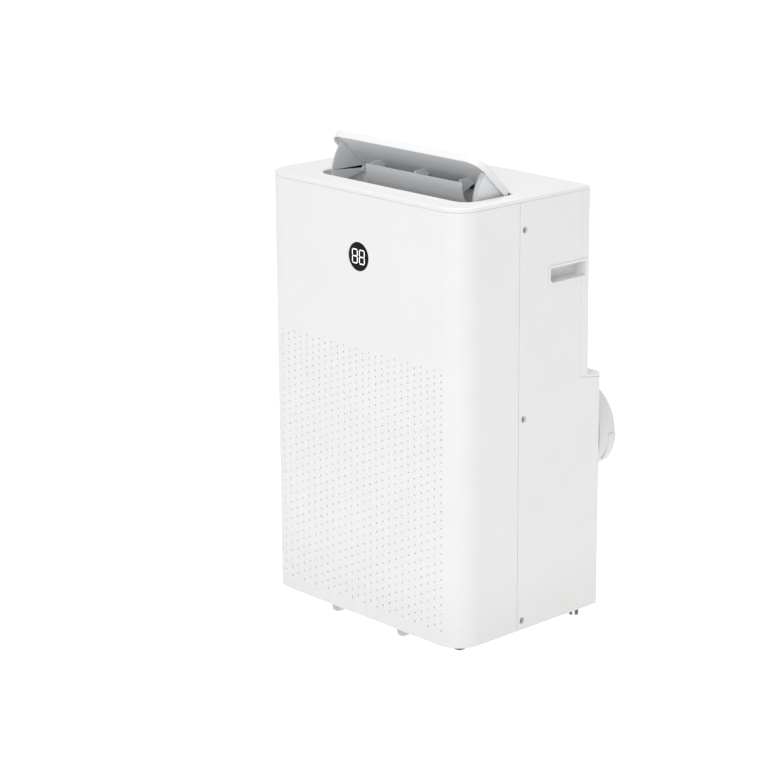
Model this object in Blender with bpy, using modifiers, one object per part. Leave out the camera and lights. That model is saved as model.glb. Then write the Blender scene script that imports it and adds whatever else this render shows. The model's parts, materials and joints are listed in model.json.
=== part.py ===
"""Portable air conditioner: a cabinet on four swivel casters with a motor-driven air flap on top.

Every length below is in millimetres and is turned into metres where a mesh is made. While the pieces are
modelled, x runs across the cabinet, y runs back from its front face and z runs up from the floor. The root
empty then moves the whole assembly so that its origin lies under the middle of its bounding box.
"""

import math

import bmesh
import bpy
from mathutils import Matrix, Vector

MM = 0.001
GAP = 0.3  # between pieces that rest on each other
FIT = 0.4  # round a piece that sits in an opening

# Cabinet
CASE_WIDTH = 470.0
CASE_HEIGHT = 738.0
UPPER_DEPTH = 301.5
LOWER_DEPTH = 336.0
FLOOR_GAP = 24.0
WALL = 2.8
FRONT_RADIUS = 45.0
LOWER_REAR_RADIUS = 8.0
UPPER_REAR_RADIUS = 3.0
FRONT_SEAM = 137.0
REAR_COVER_DEPTH = 18.5
REAR_SEAM = UPPER_DEPTH - REAR_COVER_DEPTH
SHOULDER_HEIGHT = 413.0  # above the cabinet's lower edge, where the rear cover meets the lower housing
SHOULDER_FALL = 9.0
REAR_FRAME = 30.0  # width of the frame behind the rear cover
SEAM = 0.4

# Top cover and the flap's opening in it
TOP_RIM = 7.0
TOP_THICKNESS = 3.0
TOP_ROUNDING = 4.0
SKIRT_DEPTH = 8.0
SKIRT_WALL = 2.0
OPENING_LEFT = -157.0
OPENING_RIGHT = 203.0
OPENING_FRONT = 47.0
OPENING_REAR = 158.0
OPENING_RADIUS = 30.0

# Flap
FLAP_REST_ANGLE = 45.0
FLAP_GAP = 1.2
FLAP_THICKNESS = 2.4
FLAP_LIP = 13.0
FLAP_LIP_WALL = 2.0
FLAP_LIP_END = 12.0
HINGE_BACK = 8.0  # from the opening's rear edge to the hinge axis
HINGE_DROP = 7.0  # from the top of the cabinet to the hinge axis
HINGE_PIN_RADIUS = 2.0
FLAP_HEEL = 4.2
BLADE_LENGTH = 230.0
BLADE_THICKNESS = 2.0
BLADE_FRONT = (-50.0, -18.0)
BLADE_REAR = (-14.0, -36.0)
BLADE_SAG = 5.0
GUSSET_THICKNESS = 2.4

# Flap drive
GEAR_MODULE = 1.0
SECTOR_TEETH = 144
PINION_TEETH = 14
BACKLASH = 0.35
SECTOR_SPAN = 92.0
SECTOR_WIDTH = 11.0
SECTOR_WEB = 3.0
SECTOR_RIM = 4.5
SECTOR_SIDE_GAP = 5.0
PINION_ANGLE = 36.0
PINION_SHAFT_RADIUS = 2.5
DRIVE_MOTOR_RADIUS = 14.0
DRIVE_MOTOR_LENGTH = 18.0

# Outlet duct and swing vanes
DUCT_WALL = 2.0
DUCT_BOTTOM = 650.0
VANE_COUNT = 5
VANE_PITCH = 60.0
VANE_LENGTH = 42.0
VANE_HEIGHT = 31.0
VANE_THICKNESS = 2.0
VANE_AXIS_BACK = 54.0
VANE_CRANK = 17.0
VANE_PIN_RADIUS = 2.0
VANE_SWING = 30.0
RAIL_WIDTH = 12.0
RAIL_THICKNESS = 4.0
RAIL_BOTTOM = 690.0
LINK_THICKNESS = 2.4

# Display
DISPLAY_RADIUS = 24.2
DISPLAY_HEIGHT = 626.0  # above the cabinet's lower edge
LENS_THICKNESS = 3.4

BOARD_SIZE = 68.0
BOARD_HEIGHT = 60.0
BOARD_THICKNESS = 1.6
BOARD_GAP = 1.0
DIGITS_WIDTH = 36.0
DIGITS_HEIGHT = 28.0

# Side screws, above the cabinet's lower edge
SCREW_HEIGHTS = (16.5, 368.0, 685.0)
SCREW_BACK = 12.0  # behind the front seam
SCREW_HOLE_RADIUS = 5.75
SCREW_HEAD_RADIUS = 4.4
SCREW_HEAD = 2.4
SCREW_SHANK_RADIUS = 2.0
SCREW_SHANK = 7.0
TONGUE = 2.6
BOSS_RADIUS = 7.5
BOSS_LENGTH = 10.0
CROSS_LENGTH = 5.2
CROSS_WIDTH = 1.2
CROSS_DEPTH = 1.2

# Carrying handles, above the cabinet's lower edge
HANDLE_FRONT = 208.5
HANDLE_REAR = 293.0
HANDLE_LOW = 586.5
HANDLE_HIGH = 611.5
HANDLE_DEPTH = 24.0
HANDLE_WALL = 1.8
HANDLE_CHAMFER = 5.0
BEZEL_WIDTH = 4.2
BEZEL_THICKNESS = 1.0

# Exhaust connector
CONNECTOR_X = 151.0
CONNECTOR_HEIGHT = 299.0  # above the cabinet's lower edge
CONNECTOR_RADIUS = 79.0
CONNECTOR_WALL = 3.0
CONNECTOR_REACH = 42.0
CONNECTOR_SPIGOT = 12.0
CONNECTOR_FLANGE = 5.0
CONNECTOR_LUG = 3.5
LUG_SPAN = 38.0
LUG_STARTS = (-40.0, 140.0)

# Small pieces in the lower housing's rear wall: (x, z, radius)
GLAND_PLACE = (95.0, 90.0, 7.0)
DRAIN_PLACE = (-20.0, 62.0, 9.0)
UPPER_DRAIN_PLACE = (56.0, SHOULDER_HEIGHT - 1.0, 6.0)
GRIP_THICKNESS = 2.4

# Rear intake grilles
GRILLE_HALF_WIDTH = 185.0
GRILLE_LOW = 480.0
GRILLE_HIGH = 730.0
GRILLE_THICKNESS = 3.2
GRILLE_SLOT = 7.0
GRILLE_PITCH = 15.0
GRILLE_HINGE_RISE = 2.0
LOWER_GRILLE_LEFT = -190.0
LOWER_GRILLE_RIGHT = 40.0
LOWER_GRILLE_LOW = 110.0
LOWER_GRILLE_HIGH = 390.0
GRILLE_BAR = 8.0  # between the columns of slots and round their edge
FILTER_MARGIN = 6.0  # from the grille's sides to the filter frame's
FILTER_THICKNESS = 3.0
FILTER_GAP = 1.0
FILTER_BAR = 5.0
FILTER_COLUMNS = 4
FILTER_ROWS = 3

# Base, casters and skid feet
PAN_THICKNESS = 3.0
PAN_WALL = 6.0
CASTER_X = (185.0, 207.0)  # front pair, rear pair
CASTER_Y = (60.0, 305.0)
CASTER_TRAIL_ANGLES = (225.0, 135.0)
CASTER_RADIUS = 16.5
CASTER_WIDTH = 15.0
CASTER_TRAIL = 6.0
CASTER_TOP = 46.0
CASTER_HUB_RADIUS = 15.0
CASTER_STEM_RADIUS = 4.0
CASTER_AXLE_RADIUS = 3.0
CASTER_DISC_INNER = 2.4  # the wheel discs' inner faces from the yoke's middle
CASTER_WEB = 3.2
SKID_X = 82.0
SKID_Y = 22.0
SKID_WIDTH = 26.0
SKID_DEPTH = 17.5
SKID_THICKNESS = 16.0

# Inside
CIRCUIT_GAP = 24.0  # from the partition deck's underside to the pieces that stand on it
EVAPORATOR_SIDE_ROOM = 45.0
EVAPORATOR_TOP_ROOM = 20.0
EVAPORATOR_REAR_ROOM = 13.0
EVAPORATOR_THICKNESS = 30.0
CONDENSER_X = 62.0
CONDENSER_THICKNESS = 28.0
CONDENSER_FRONT = 60.0
CONDENSER_REAR_ROOM = 28.0
CONDENSER_LOW = 40.0  # above the cabinet's lower edge
CONDENSER_TOP_ROOM = 30.0
COIL_FIN_GROUPS = 9
COIL_BEND = 7.0
COMPRESSOR_PLACE = (-90.0, 190.0)
COMPRESSOR_RADIUS = 62.0
COMPRESSOR_HEIGHT = 270.0
ACCUMULATOR_REACH = 92.0
ACCUMULATOR_RADIUS = 24.0
ACCUMULATOR_TOP = 190.0
CONTROL_BOX_ROOM = 17.0  # from the cabinet's left side
CONTROL_BOX_WIDTH = 54.0
CONTROL_BOX_DEPTH = 92.0
CONTROL_BOX_FRONT = 26.0
CONTROL_BOX_HEIGHT = 190.0
DECK_RISE = 5.0
DECK_HEIGHT = 12.0
DECK_WALL = 2.5

# Fans
FAN_BLADES = 16
EVAPORATOR_FAN = {"centre": (20.0, 561.0), "radius": 70.0, "low": 62.0, "high": 152.0}
CONDENSER_FAN = {"centre": (260.0, 165.0), "radius": 64.0, "low": 108.0, "high": 200.0}
SCROLL_WALL = 2.5
SCROLL_START = 12.0
SCROLL_GROWTH = 38.0
SHAFT_RADIUS = 4.0
MOTOR_RADIUS = 38.0

HALF_WIDTH = CASE_WIDTH / 2
CASE_LOW = FLOOR_GAP
CASE_TOP = FLOOR_GAP + CASE_HEIGHT
SHELL_TOP = CASE_TOP - TOP_RIM
SHOULDER = CASE_LOW + SHOULDER_HEIGHT
TOTAL_DEPTH = LOWER_DEPTH + CONNECTOR_REACH
HINGE_Y = OPENING_REAR - HINGE_BACK
HINGE_Z = CASE_TOP - HINGE_DROP
SECTOR_RADIUS = GEAR_MODULE * SECTOR_TEETH / 2
PINION_RADIUS = GEAR_MODULE * PINION_TEETH / 2
SCREW_Y = FRONT_SEAM + SCREW_BACK
OPENING_CENTRE = (OPENING_LEFT + OPENING_RIGHT) / 2
VANE_Y = OPENING_FRONT + VANE_AXIS_BACK


# ---------------------------------------------------------------- scene and materials


def clear_scene():
    for obj in list(bpy.data.objects):
        bpy.data.objects.remove(obj, do_unlink=True)


def new_collection(name):
    collection = bpy.data.collections.new(name)
    bpy.context.scene.collection.children.link(collection)
    return collection


def new_material(name, colour, roughness, metallic=0.0):
    material = bpy.data.materials.new(name)
    material.use_nodes = True
    shader = material.node_tree.nodes["Principled BSDF"]
    shader.inputs["Base Color"].default_value = (*colour, 1.0)
    shader.inputs["Roughness"].default_value = roughness
    shader.inputs["Metallic"].default_value = metallic
    material.diffuse_color = (*colour, 1.0)
    return material


clear_scene()
PARTS = new_collection("portable_air_conditioner")
MATERIALS = {
    "white_plastic": new_material("white_plastic", (0.86, 0.86, 0.86), 0.42),
    "inner_plastic": new_material("inner_plastic", (0.78, 0.79, 0.80), 0.55),
    "grey_plastic": new_material("grey_plastic", (0.45, 0.46, 0.47), 0.50),
    "black_gloss": new_material("black_gloss", (0.01, 0.01, 0.012), 0.08),
    "black_nylon": new_material("black_nylon", (0.02, 0.02, 0.022), 0.45),
    "circuit_board": new_material("circuit_board", (0.02, 0.16, 0.07), 0.45),
    "zinc_steel": new_material("zinc_steel", (0.62, 0.62, 0.60), 0.35, 1.0),
    "black_steel": new_material("black_steel", (0.03, 0.03, 0.033), 0.40, 1.0),
    "aluminium_fin": new_material("aluminium_fin", (0.80, 0.81, 0.82), 0.32, 1.0),
    "copper": new_material("copper", (0.85, 0.44, 0.28), 0.28, 1.0),
    "rubber": new_material("rubber", (0.03, 0.03, 0.03), 0.70),
}


# ---------------------------------------------------------------- shapes


def add_object(name, bm, material="white_plastic"):
    """A mesh object made from a bmesh in millimetres."""
    bmesh.ops.recalc_face_normals(bm, faces=bm.faces)
    bmesh.ops.scale(bm, vec=(MM, MM, MM), verts=bm.verts)
    mesh = bpy.data.meshes.new(name)
    bm.to_mesh(mesh)
    bm.free()
    obj = bpy.data.objects.new(name, mesh)
    mesh.materials.append(MATERIALS[material])
    PARTS.objects.link(obj)
    return obj


def box(name, low, high, material="white_plastic"):
    bm = bmesh.new()
    size = Vector(high) - Vector(low)
    centre = (Vector(high) + Vector(low)) / 2
    bmesh.ops.create_cube(bm, size=1.0, matrix=Matrix.Translation(centre) @ Matrix.Diagonal((*size, 1.0)))
    return add_object(name, bm, material)


def turn_from_z(axis):
    """The rotation that takes +Z to the named axis."""
    return {
        "X": Matrix.Rotation(math.pi / 2, 4, "Y"),
        "Y": Matrix.Rotation(-math.pi / 2, 4, "X"),
        "Z": Matrix.Identity(4),
    }[axis]


def cylinder(name, base, axis, radius, length, material="white_plastic", sides=32, end_radius=None):
    """A round bar from base along +axis; end_radius makes it a cone frustum."""
    bm = bmesh.new()
    turn = turn_from_z(axis)
    centre = Vector(base) + turn @ Vector((0, 0, length / 2))
    bmesh.ops.create_cone(
        bm,
        cap_ends=True,
        segments=sides,
        radius1=radius,
        radius2=radius if end_radius is None else end_radius,
        depth=length,
        matrix=Matrix.Translation(centre) @ turn,
    )
    return add_object(name, bm, material)


def arc(centre, radius, start, end, steps):
    """Points on an arc, both ends included; angles in degrees."""
    points = []
    for i in range(steps + 1):
        angle = math.radians(start + (end - start) * i / steps)
        points.append((centre[0] + radius * math.cos(angle), centre[1] + radius * math.sin(angle)))
    return points


def rounded(corners, radii, steps=6):
    """The outline through the corners, each one rounded to its radius."""
    outline = []
    for i, (corner, radius) in enumerate(zip(corners, radii)):
        here = Vector(corner)
        if radius <= 0:
            outline.append(tuple(here))
            continue
        to_last = (Vector(corners[i - 1]) - here).normalized()
        to_next = (Vector(corners[(i + 1) % len(corners)]) - here).normalized()
        half = to_last.angle(to_next) / 2
        centre = here + (to_last + to_next).normalized() * radius / math.sin(half)
        first = here + to_last * radius / math.tan(half) - centre
        last = here + to_next * radius / math.tan(half) - centre
        start = math.atan2(first.y, first.x)
        sweep = (math.atan2(last.y, last.x) - start + math.pi) % (2 * math.pi) - math.pi
        outline += arc(centre, radius, math.degrees(start), math.degrees(start + sweep), steps)
    return outline


def rectangle(left, right, low, high, radii=(0, 0, 0, 0), steps=6):
    """An outline with its corners rounded in the order left-low, right-low, right-high, left-high."""
    return rounded([(left, low), (right, low), (right, high), (left, high)], radii, steps)


def plate(name, outline, axis, low, high, material="white_plastic"):
    """A flat outline extruded from low to high along an axis.

    The outline's two coordinates are (y, z) for axis X, (x, z) for axis Y and (x, y) for axis Z.
    """
    curve = bpy.data.curves.new(name, "CURVE")
    curve.dimensions = "2D"
    curve.fill_mode = "BOTH"
    curve.extrude = (high - low) / 2 * MM
    spline = curve.splines.new("POLY")
    spline.points.add(len(outline) - 1)
    for point, (a, b) in zip(spline.points, outline):
        point.co = (a * MM, b * MM, 0.0, 1.0)
    spline.use_cyclic_u = True
    columns = {"X": ((0, 1, 0), (0, 0, 1), (1, 0, 0)), "Y": ((1, 0, 0), (0, 0, 1), (0, -1, 0))}
    turn = Matrix(columns[axis]).transposed().to_4x4() if axis in columns else Matrix.Identity(4)
    middle = Vector({"X": (1, 0, 0), "Y": (0, 1, 0), "Z": (0, 0, 1)}[axis]) * (low + high) / 2 * MM
    helper = bpy.data.objects.new(name + "_outline", curve)
    PARTS.objects.link(helper)
    mesh = bpy.data.meshes.new_from_object(helper.evaluated_get(bpy.context.evaluated_depsgraph_get()))
    bpy.data.objects.remove(helper)
    bm = bmesh.new()
    bm.from_mesh(mesh)
    bmesh.ops.remove_doubles(bm, verts=bm.verts, dist=1e-6)
    place = Matrix.Scale(1 / MM, 4) @ Matrix.Translation(middle) @ turn
    bmesh.ops.transform(bm, matrix=place, verts=bm.verts)
    bmesh.ops.dissolve_limit(bm, angle_limit=0.001, verts=bm.verts, edges=bm.edges)
    return add_object(name, bm, material)


def baked(obj):
    """The object with its modifiers applied to its mesh."""
    graph = bpy.context.evaluated_depsgraph_get()
    mesh = bpy.data.meshes.new_from_object(obj.evaluated_get(graph))
    obj.modifiers.clear()
    obj.data = mesh
    return obj


def combine(obj, tools, operation, solver="EXACT"):
    for tool in tools:
        modifier = obj.modifiers.new(operation.lower(), "BOOLEAN")
        modifier.operation = operation
        modifier.solver = solver
        modifier.object = tool
    baked(obj)
    for tool in tools:
        bpy.data.objects.remove(tool)
    return obj


def cut(obj, *tools):
    return combine(obj, tools, "DIFFERENCE")


def join(obj, *others):
    return combine(obj, others, "UNION")


def merged(objects):
    """Separate bodies gathered in one mesh, to be used as one cutter."""
    bm = bmesh.new()
    for obj in objects:
        bm.from_mesh(obj.data)
        bpy.data.objects.remove(obj)
    bmesh.ops.scale(bm, vec=(1 / MM, 1 / MM, 1 / MM), verts=bm.verts)
    return add_object("cutters", bm)


def round_edges(obj, radius, steps, chosen):
    """Rounds the edges for which chosen(middle, direction) holds, both given in millimetres."""
    bm = bmesh.new()
    bm.from_mesh(obj.data)
    edges = []
    for edge in bm.edges:
        start, end = (vertex.co / MM for vertex in edge.verts)
        if chosen((start + end) / 2, (end - start).normalized()):
            edges.append(edge)
    bmesh.ops.bevel(
        bm, geom=edges, offset=radius * MM, segments=steps, profile=0.5, affect="EDGES", clamp_overlap=True
    )
    bmesh.ops.dissolve_degenerate(bm, dist=1e-7, edges=bm.edges)
    bm.to_mesh(obj.data)
    bm.free()
    return obj


def turned(name, profile, base, axis, material="white_plastic", steps=48):
    """A profile of (radius, height) points turned about an axis through base.

    The profile is closed from the outer side down and back up the inner side, or ends on the axis.
    """
    mesh = bpy.data.meshes.new(name)
    edges = [(i, i + 1) for i in range(len(profile) - 1)]
    if profile[0][0] > 0 and profile[-1][0] > 0:
        edges.append((len(profile) - 1, 0))
    mesh.from_pydata([(radius * MM, 0, height * MM) for radius, height in profile], edges, [])
    mesh.materials.append(MATERIALS[material])
    obj = bpy.data.objects.new(name, mesh)
    PARTS.objects.link(obj)
    screw = obj.modifiers.new("turn", "SCREW")
    screw.steps = steps
    screw.render_steps = steps
    screw.use_merge_vertices = True
    screw.merge_threshold = 1e-6
    baked(obj)
    bm = bmesh.new()
    bm.from_mesh(obj.data)
    bmesh.ops.remove_doubles(bm, verts=bm.verts, dist=1e-6)
    bmesh.ops.recalc_face_normals(bm, faces=bm.faces)
    bmesh.ops.transform(bm, matrix=Matrix.Translation(Vector(base) * MM) @ turn_from_z(axis), verts=bm.verts)
    bm.to_mesh(obj.data)
    bm.free()
    obj.data.materials.clear()
    obj.data.materials.append(MATERIALS[material])
    return obj


def tube(name, points, radius, material="copper"):
    curve = bpy.data.curves.new(name, "CURVE")
    curve.dimensions = "3D"
    curve.bevel_depth = radius * MM
    curve.bevel_resolution = 2
    curve.use_fill_caps = True
    spline = curve.splines.new("POLY")
    spline.points.add(len(points) - 1)
    for point, place in zip(spline.points, points):
        point.co = (*(Vector(place) * MM), 1.0)
    curve.materials.append(MATERIALS[material])
    obj = bpy.data.objects.new(name, curve)
    PARTS.objects.link(obj)
    return obj


def put_origin(obj, point):
    """Moves the object's origin to a point given in millimetres, with its mesh left in place."""
    shift = Vector(point) * MM
    obj.data.transform(Matrix.Translation(-shift))
    obj.location = shift
    return obj


def smooth(obj, angle=35.0):
    if obj.type == "MESH":
        obj.data.shade_smooth()
        obj.data.set_sharp_from_angle(angle=math.radians(angle))
    return obj


# ---------------------------------------------------------------- cabinet


def cabinet_plan(inset, rear, rear_radius):
    """The cabinet's outline from above, drawn in by inset on every side."""
    radius = FRONT_RADIUS - inset
    behind = max(rear_radius - inset, 0)
    return rectangle(
        inset - HALF_WIDTH, HALF_WIDTH - inset, inset, rear - inset, (radius, radius, behind, behind)
    )


def make_front_shell():
    """The one-piece front: a face and two sides in a U, with tongues that reach behind the body's sides."""
    shell = plate(
        "front_shell", cabinet_plan(0, FRONT_SEAM, 0), "Z", CASE_LOW, SHELL_TOP - SEAM
    )
    hollow = plate("hollow", cabinet_plan(WALL, FRONT_SEAM + 99, 0), "Z", CASE_LOW - 9, SHELL_TOP + 9)
    cut(shell, hollow)
    outer = HALF_WIDTH - WALL - FIT
    inner = outer - TONGUE
    tongue_top = SHELL_TOP - SKIRT_DEPTH - 2 * FIT
    additions = []
    for side in (-1, 1):
        upright = (CASE_LOW + 2, tongue_top)
        behind = (FRONT_SEAM - 16, SCREW_Y + 12)
        additions.append(side_box("tongue", side, inner, outer, behind, upright))
        root = (FRONT_SEAM - 16, FRONT_SEAM - 4)
        additions.append(side_box("root", side, inner, outer + 2, root, upright))
        for height in SCREW_HEIGHTS:
            base = (side * (inner + 0.5), SCREW_Y, CASE_LOW + height)
            additions.append(side_bar("boss", side, base, BOSS_RADIUS, -BOSS_LENGTH, sides=16))
    join(shell, *additions)
    counterbores = []
    bores = []
    seat = inner - GAP
    for side in (-1, 1):
        for height in SCREW_HEIGHTS:
            z = CASE_LOW + height
            place = (side * seat, SCREW_Y, z)
            counterbores.append(side_bar("counterbore", side, place, SCREW_HEAD_RADIUS + FIT, 9, sides=16))
            start = (side * (seat + 1), SCREW_Y, z)
            bore = SCREW_SHANK_RADIUS + FIT
            bores.append(side_bar("bore", side, start, bore, -BOSS_LENGTH - 9, sides=10))
    window = cylinder("window", (0, -9, CASE_LOW + DISPLAY_HEIGHT), "Y", DISPLAY_RADIUS, WALL + 18, sides=40)
    cut(shell, merged(counterbores), merged(bores), window)
    return shell


def side_box(name, side, near, far, depth, height, material="white_plastic"):
    """A box between two distances from the middle plane, on the side given by +1 or -1."""
    xs = sorted((side * near, side * far))
    return box(name, (xs[0], depth[0], height[0]), (xs[1], depth[1], height[1]), material)


def side_bar(name, side, base, radius, length, material="white_plastic", sides=24):
    """A round bar from base, outwards along x when length is positive and inwards when it is negative."""
    reach = side * length
    start = (base[0] + min(reach, 0), base[1], base[2])
    return cylinder(name, start, "X", radius, abs(reach), material, sides)


def body_profile(inset):
    """The body seen from its side: the lower housing stands out behind the upper part."""
    rear = LOWER_DEPTH - inset
    top = SHOULDER - inset
    return [
        (FRONT_SEAM + SEAM, CASE_LOW),
        (rear, CASE_LOW),
        (rear, top - SHOULDER_FALL),
        (REAR_SEAM, top),
        (REAR_SEAM, SHELL_TOP - SEAM),
        (FRONT_SEAM + SEAM, SHELL_TOP - SEAM),
    ]


def is_upright(direction):
    return abs(direction.z) > 0.99


def make_body_shell():
    """The sides and the lower housing in one piece, open to the front, above and below."""
    shell = plate("body_shell", body_profile(0), "X", -HALF_WIDTH, HALF_WIDTH)
    round_edges(
        shell, LOWER_REAR_RADIUS, 6, lambda middle, way: is_upright(way) and middle.y > LOWER_DEPTH - 1
    )
    inner = HALF_WIDTH - WALL
    back = REAR_SEAM - WALL
    inside = [
        (FRONT_SEAM - 50, CASE_LOW - 50),
        (LOWER_DEPTH - WALL, CASE_LOW - 50),
        (LOWER_DEPTH - WALL, SHOULDER - WALL - SHOULDER_FALL),
        (back, SHOULDER - WALL),
        (back, SHELL_TOP + 50),
        (FRONT_SEAM - 50, SHELL_TOP + 50),
    ]
    hollow = plate("hollow", inside, "X", -inner, inner)
    round_edges(
        hollow,
        LOWER_REAR_RADIUS - WALL,
        6,
        lambda middle, way: is_upright(way) and middle.y > LOWER_DEPTH - WALL - 1,
    )
    frame = HALF_WIDTH - REAR_FRAME
    window = box(
        "window",
        (-frame, back - 9, SHOULDER + REAR_FRAME / 2),
        (frame, REAR_SEAM + 9, SHELL_TOP + 50),
    )
    skirt_room = box(
        "skirt_room",
        (-inner, back - 9, SHELL_TOP - SKIRT_DEPTH - 2 * FIT),
        (inner, REAR_SEAM + 9, SHELL_TOP + 50),
    )
    cut(shell, hollow, window, skirt_room)
    holes = [screw_hole(side, height) for side in (-1, 1) for height in SCREW_HEIGHTS]
    duct = cylinder(
        "duct_hole",
        (CONNECTOR_X, LOWER_DEPTH - 30, CASE_LOW + CONNECTOR_HEIGHT),
        "Y",
        CONNECTOR_RADIUS - CONNECTOR_WALL + FIT,
        60,
        sides=40,
    )
    grille = box(
        "grille_hole",
        (LOWER_GRILLE_LEFT - FIT, LOWER_DEPTH - 30, LOWER_GRILLE_LOW - FIT),
        (LOWER_GRILLE_RIGHT + FIT, LOWER_DEPTH + 30, LOWER_GRILLE_HIGH + FIT),
    )
    cut(shell, merged(holes), duct, grille, *small_rear_holes(), *handle_holes())
    return shell


def screw_hole(side, height):
    base = (side * (HALF_WIDTH - 20), SCREW_Y, CASE_LOW + height)
    return side_bar("screw_hole", side, base, SCREW_HOLE_RADIUS, 30, sides=20)


def make_rear_cover():
    """The upper rear cover, which carries the hinged intake grille; its foot levels the sloping shoulder."""
    front = REAR_SEAM + SEAM
    fall = SHOULDER_FALL / (LOWER_DEPTH - REAR_SEAM)
    ledge = SHOULDER + SEAM
    profile = [
        (front, ledge - fall * SEAM),
        (LOWER_DEPTH, ledge - SHOULDER_FALL),
        (LOWER_DEPTH, ledge),
        (UPPER_DEPTH, ledge),
        (UPPER_DEPTH, SHELL_TOP - SEAM),
        (front, SHELL_TOP - SEAM),
    ]
    cover = plate("rear_cover", profile, "X", -HALF_WIDTH, HALF_WIDTH)
    round_edges(
        cover,
        UPPER_REAR_RADIUS,
        3,
        lambda middle, way: is_upright(way) and middle.z > SHOULDER + 50 and middle.y > UPPER_DEPTH - 1,
    )
    round_edges(
        cover, LOWER_REAR_RADIUS, 4, lambda middle, way: is_upright(way) and middle.y > LOWER_DEPTH - 1
    )
    inner = HALF_WIDTH - WALL
    hollow = box("hollow", (-inner, front - 9, SHOULDER - 50), (inner, UPPER_DEPTH - WALL, CASE_TOP + 9))
    window = box(
        "window",
        (-GRILLE_HALF_WIDTH - 3 * FIT, front, GRILLE_LOW - 3 * FIT),
        (GRILLE_HALF_WIDTH + 3 * FIT, UPPER_DEPTH + 9, GRILLE_HIGH + 3 * FIT),
    )
    cut(cover, hollow, window, *handle_holes())
    return cover


def make_top_cover():
    """The lid with a rounded edge, the flap's opening and a skirt inside the walls."""
    cover = plate(
        "top_cover", cabinet_plan(0, UPPER_DEPTH, UPPER_REAR_RADIUS), "Z", SHELL_TOP, CASE_TOP
    )
    round_edges(
        cover, TOP_ROUNDING, 3, lambda middle, way: middle.z > CASE_TOP - 0.1 and abs(way.z) < 0.1
    )
    hollow = plate(
        "hollow",
        cabinet_plan(WALL, UPPER_DEPTH, UPPER_REAR_RADIUS),
        "Z",
        SHELL_TOP - 9,
        CASE_TOP - TOP_THICKNESS,
    )
    cut(cover, hollow)
    inset = WALL + FIT
    skirt_low = SHELL_TOP - SKIRT_DEPTH
    skirt = plate(
        "skirt", cabinet_plan(inset, UPPER_DEPTH, UPPER_REAR_RADIUS), "Z", skirt_low, CASE_TOP - 2
    )
    within = plate(
        "within",
        cabinet_plan(inset + SKIRT_WALL, UPPER_DEPTH, UPPER_REAR_RADIUS),
        "Z",
        skirt_low - 9,
        CASE_TOP + 9,
    )
    cut(skirt, within)
    join(cover, skirt)
    cut(cover, plate("opening", opening_outline(0), "Z", SHELL_TOP - 50, CASE_TOP + 50))
    return cover


def opening_outline(growth):
    """The flap's opening from above, made larger by growth all round."""
    front = OPENING_RADIUS + growth
    rear = 5.0 + growth
    return rectangle(
        OPENING_LEFT - growth,
        OPENING_RIGHT + growth,
        OPENING_FRONT - growth,
        OPENING_REAR + growth,
        (front, front, rear, rear),
    )


def handle_outline(growth):
    """A carrying recess seen from the side, made larger by growth; its low front corner is cut off."""
    front = HANDLE_FRONT - growth
    rear = HANDLE_REAR + growth
    low = CASE_LOW + HANDLE_LOW - growth
    high = CASE_LOW + HANDLE_HIGH + growth
    slant = HANDLE_CHAMFER + growth * (2 - math.sqrt(2))
    return [(front, high), (front, low + slant), (front + slant, low), (rear, low), (rear, high)]


def handle_holes():
    near = HALF_WIDTH - HANDLE_DEPTH - HANDLE_WALL - FIT
    far = HALF_WIDTH + 9
    return [
        plate("handle_hole", handle_outline(HANDLE_WALL + FIT), "X", min(a, b), max(a, b))
        for a, b in ((-near, -far), (near, far))
    ]


def make_handle(name, side):
    """A finger cup with a thin bezel that lies on the cabinet's side."""
    face = HALF_WIDTH + GAP
    outside = face + BEZEL_THICKNESS
    bottom = HALF_WIDTH - HANDLE_DEPTH - HANDLE_WALL

    def slab(label, growth, near, far):
        low, high = sorted((side * near, side * far))
        return plate(label, handle_outline(growth), "X", low, high)

    cup = slab(name, HANDLE_WALL, bottom, outside - 0.2)
    join(cup, slab("bezel", BEZEL_WIDTH, face, outside))
    cut(cup, slab("pocket", 0, bottom + HANDLE_WALL, outside + 9))
    return cup


def make_screw(name, side, height):
    seat = HALF_WIDTH - WALL - FIT - TONGUE
    base = (side * seat, SCREW_Y, CASE_LOW + height)
    screw = side_bar(name, side, base, SCREW_HEAD_RADIUS, SCREW_HEAD, "zinc_steel", 16)
    shank_start = (base[0] + side, *base[1:])
    join(screw, side_bar("shank", side, shank_start, SCREW_SHANK_RADIUS, -SCREW_SHANK - 1, sides=8))
    z = CASE_LOW + height
    long = CROSS_LENGTH / 2
    short = CROSS_WIDTH / 2
    cross = [
        side_box(
            "slot",
            side,
            seat + SCREW_HEAD - CROSS_DEPTH,
            seat + SCREW_HEAD + 2,
            (SCREW_Y - across, SCREW_Y + across),
            (z - up, z + up),
        )
        for across, up in ((long, short), (short, long))
    ]
    cut(screw, *cross)
    return screw


def make_display():
    z = CASE_LOW + DISPLAY_HEIGHT
    radius = DISPLAY_RADIUS - GAP
    profile = [(0, LENS_THICKNESS), (radius, LENS_THICKNESS), (radius, 0.5), (radius - 0.5, 0), (0, 0)]
    turned("display_lens", profile, (0, 0, z), "Y", "black_gloss")
    face = LENS_THICKNESS + BOARD_GAP
    half_width = BOARD_SIZE / 2
    half_height = BOARD_HEIGHT / 2
    board = box(
        "display_board",
        (-half_width, face, z - half_height),
        (half_width, face + BOARD_THICKNESS, z + half_height),
        "circuit_board",
    )
    digits = box(
        "digits",
        (-DIGITS_WIDTH / 2, LENS_THICKNESS + GAP, z - DIGITS_HEIGHT / 2),
        (DIGITS_WIDTH / 2, face + 0.5, z + DIGITS_HEIGHT / 2),
    )
    join(board, digits)


# ---------------------------------------------------------------- flap and its drive


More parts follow.
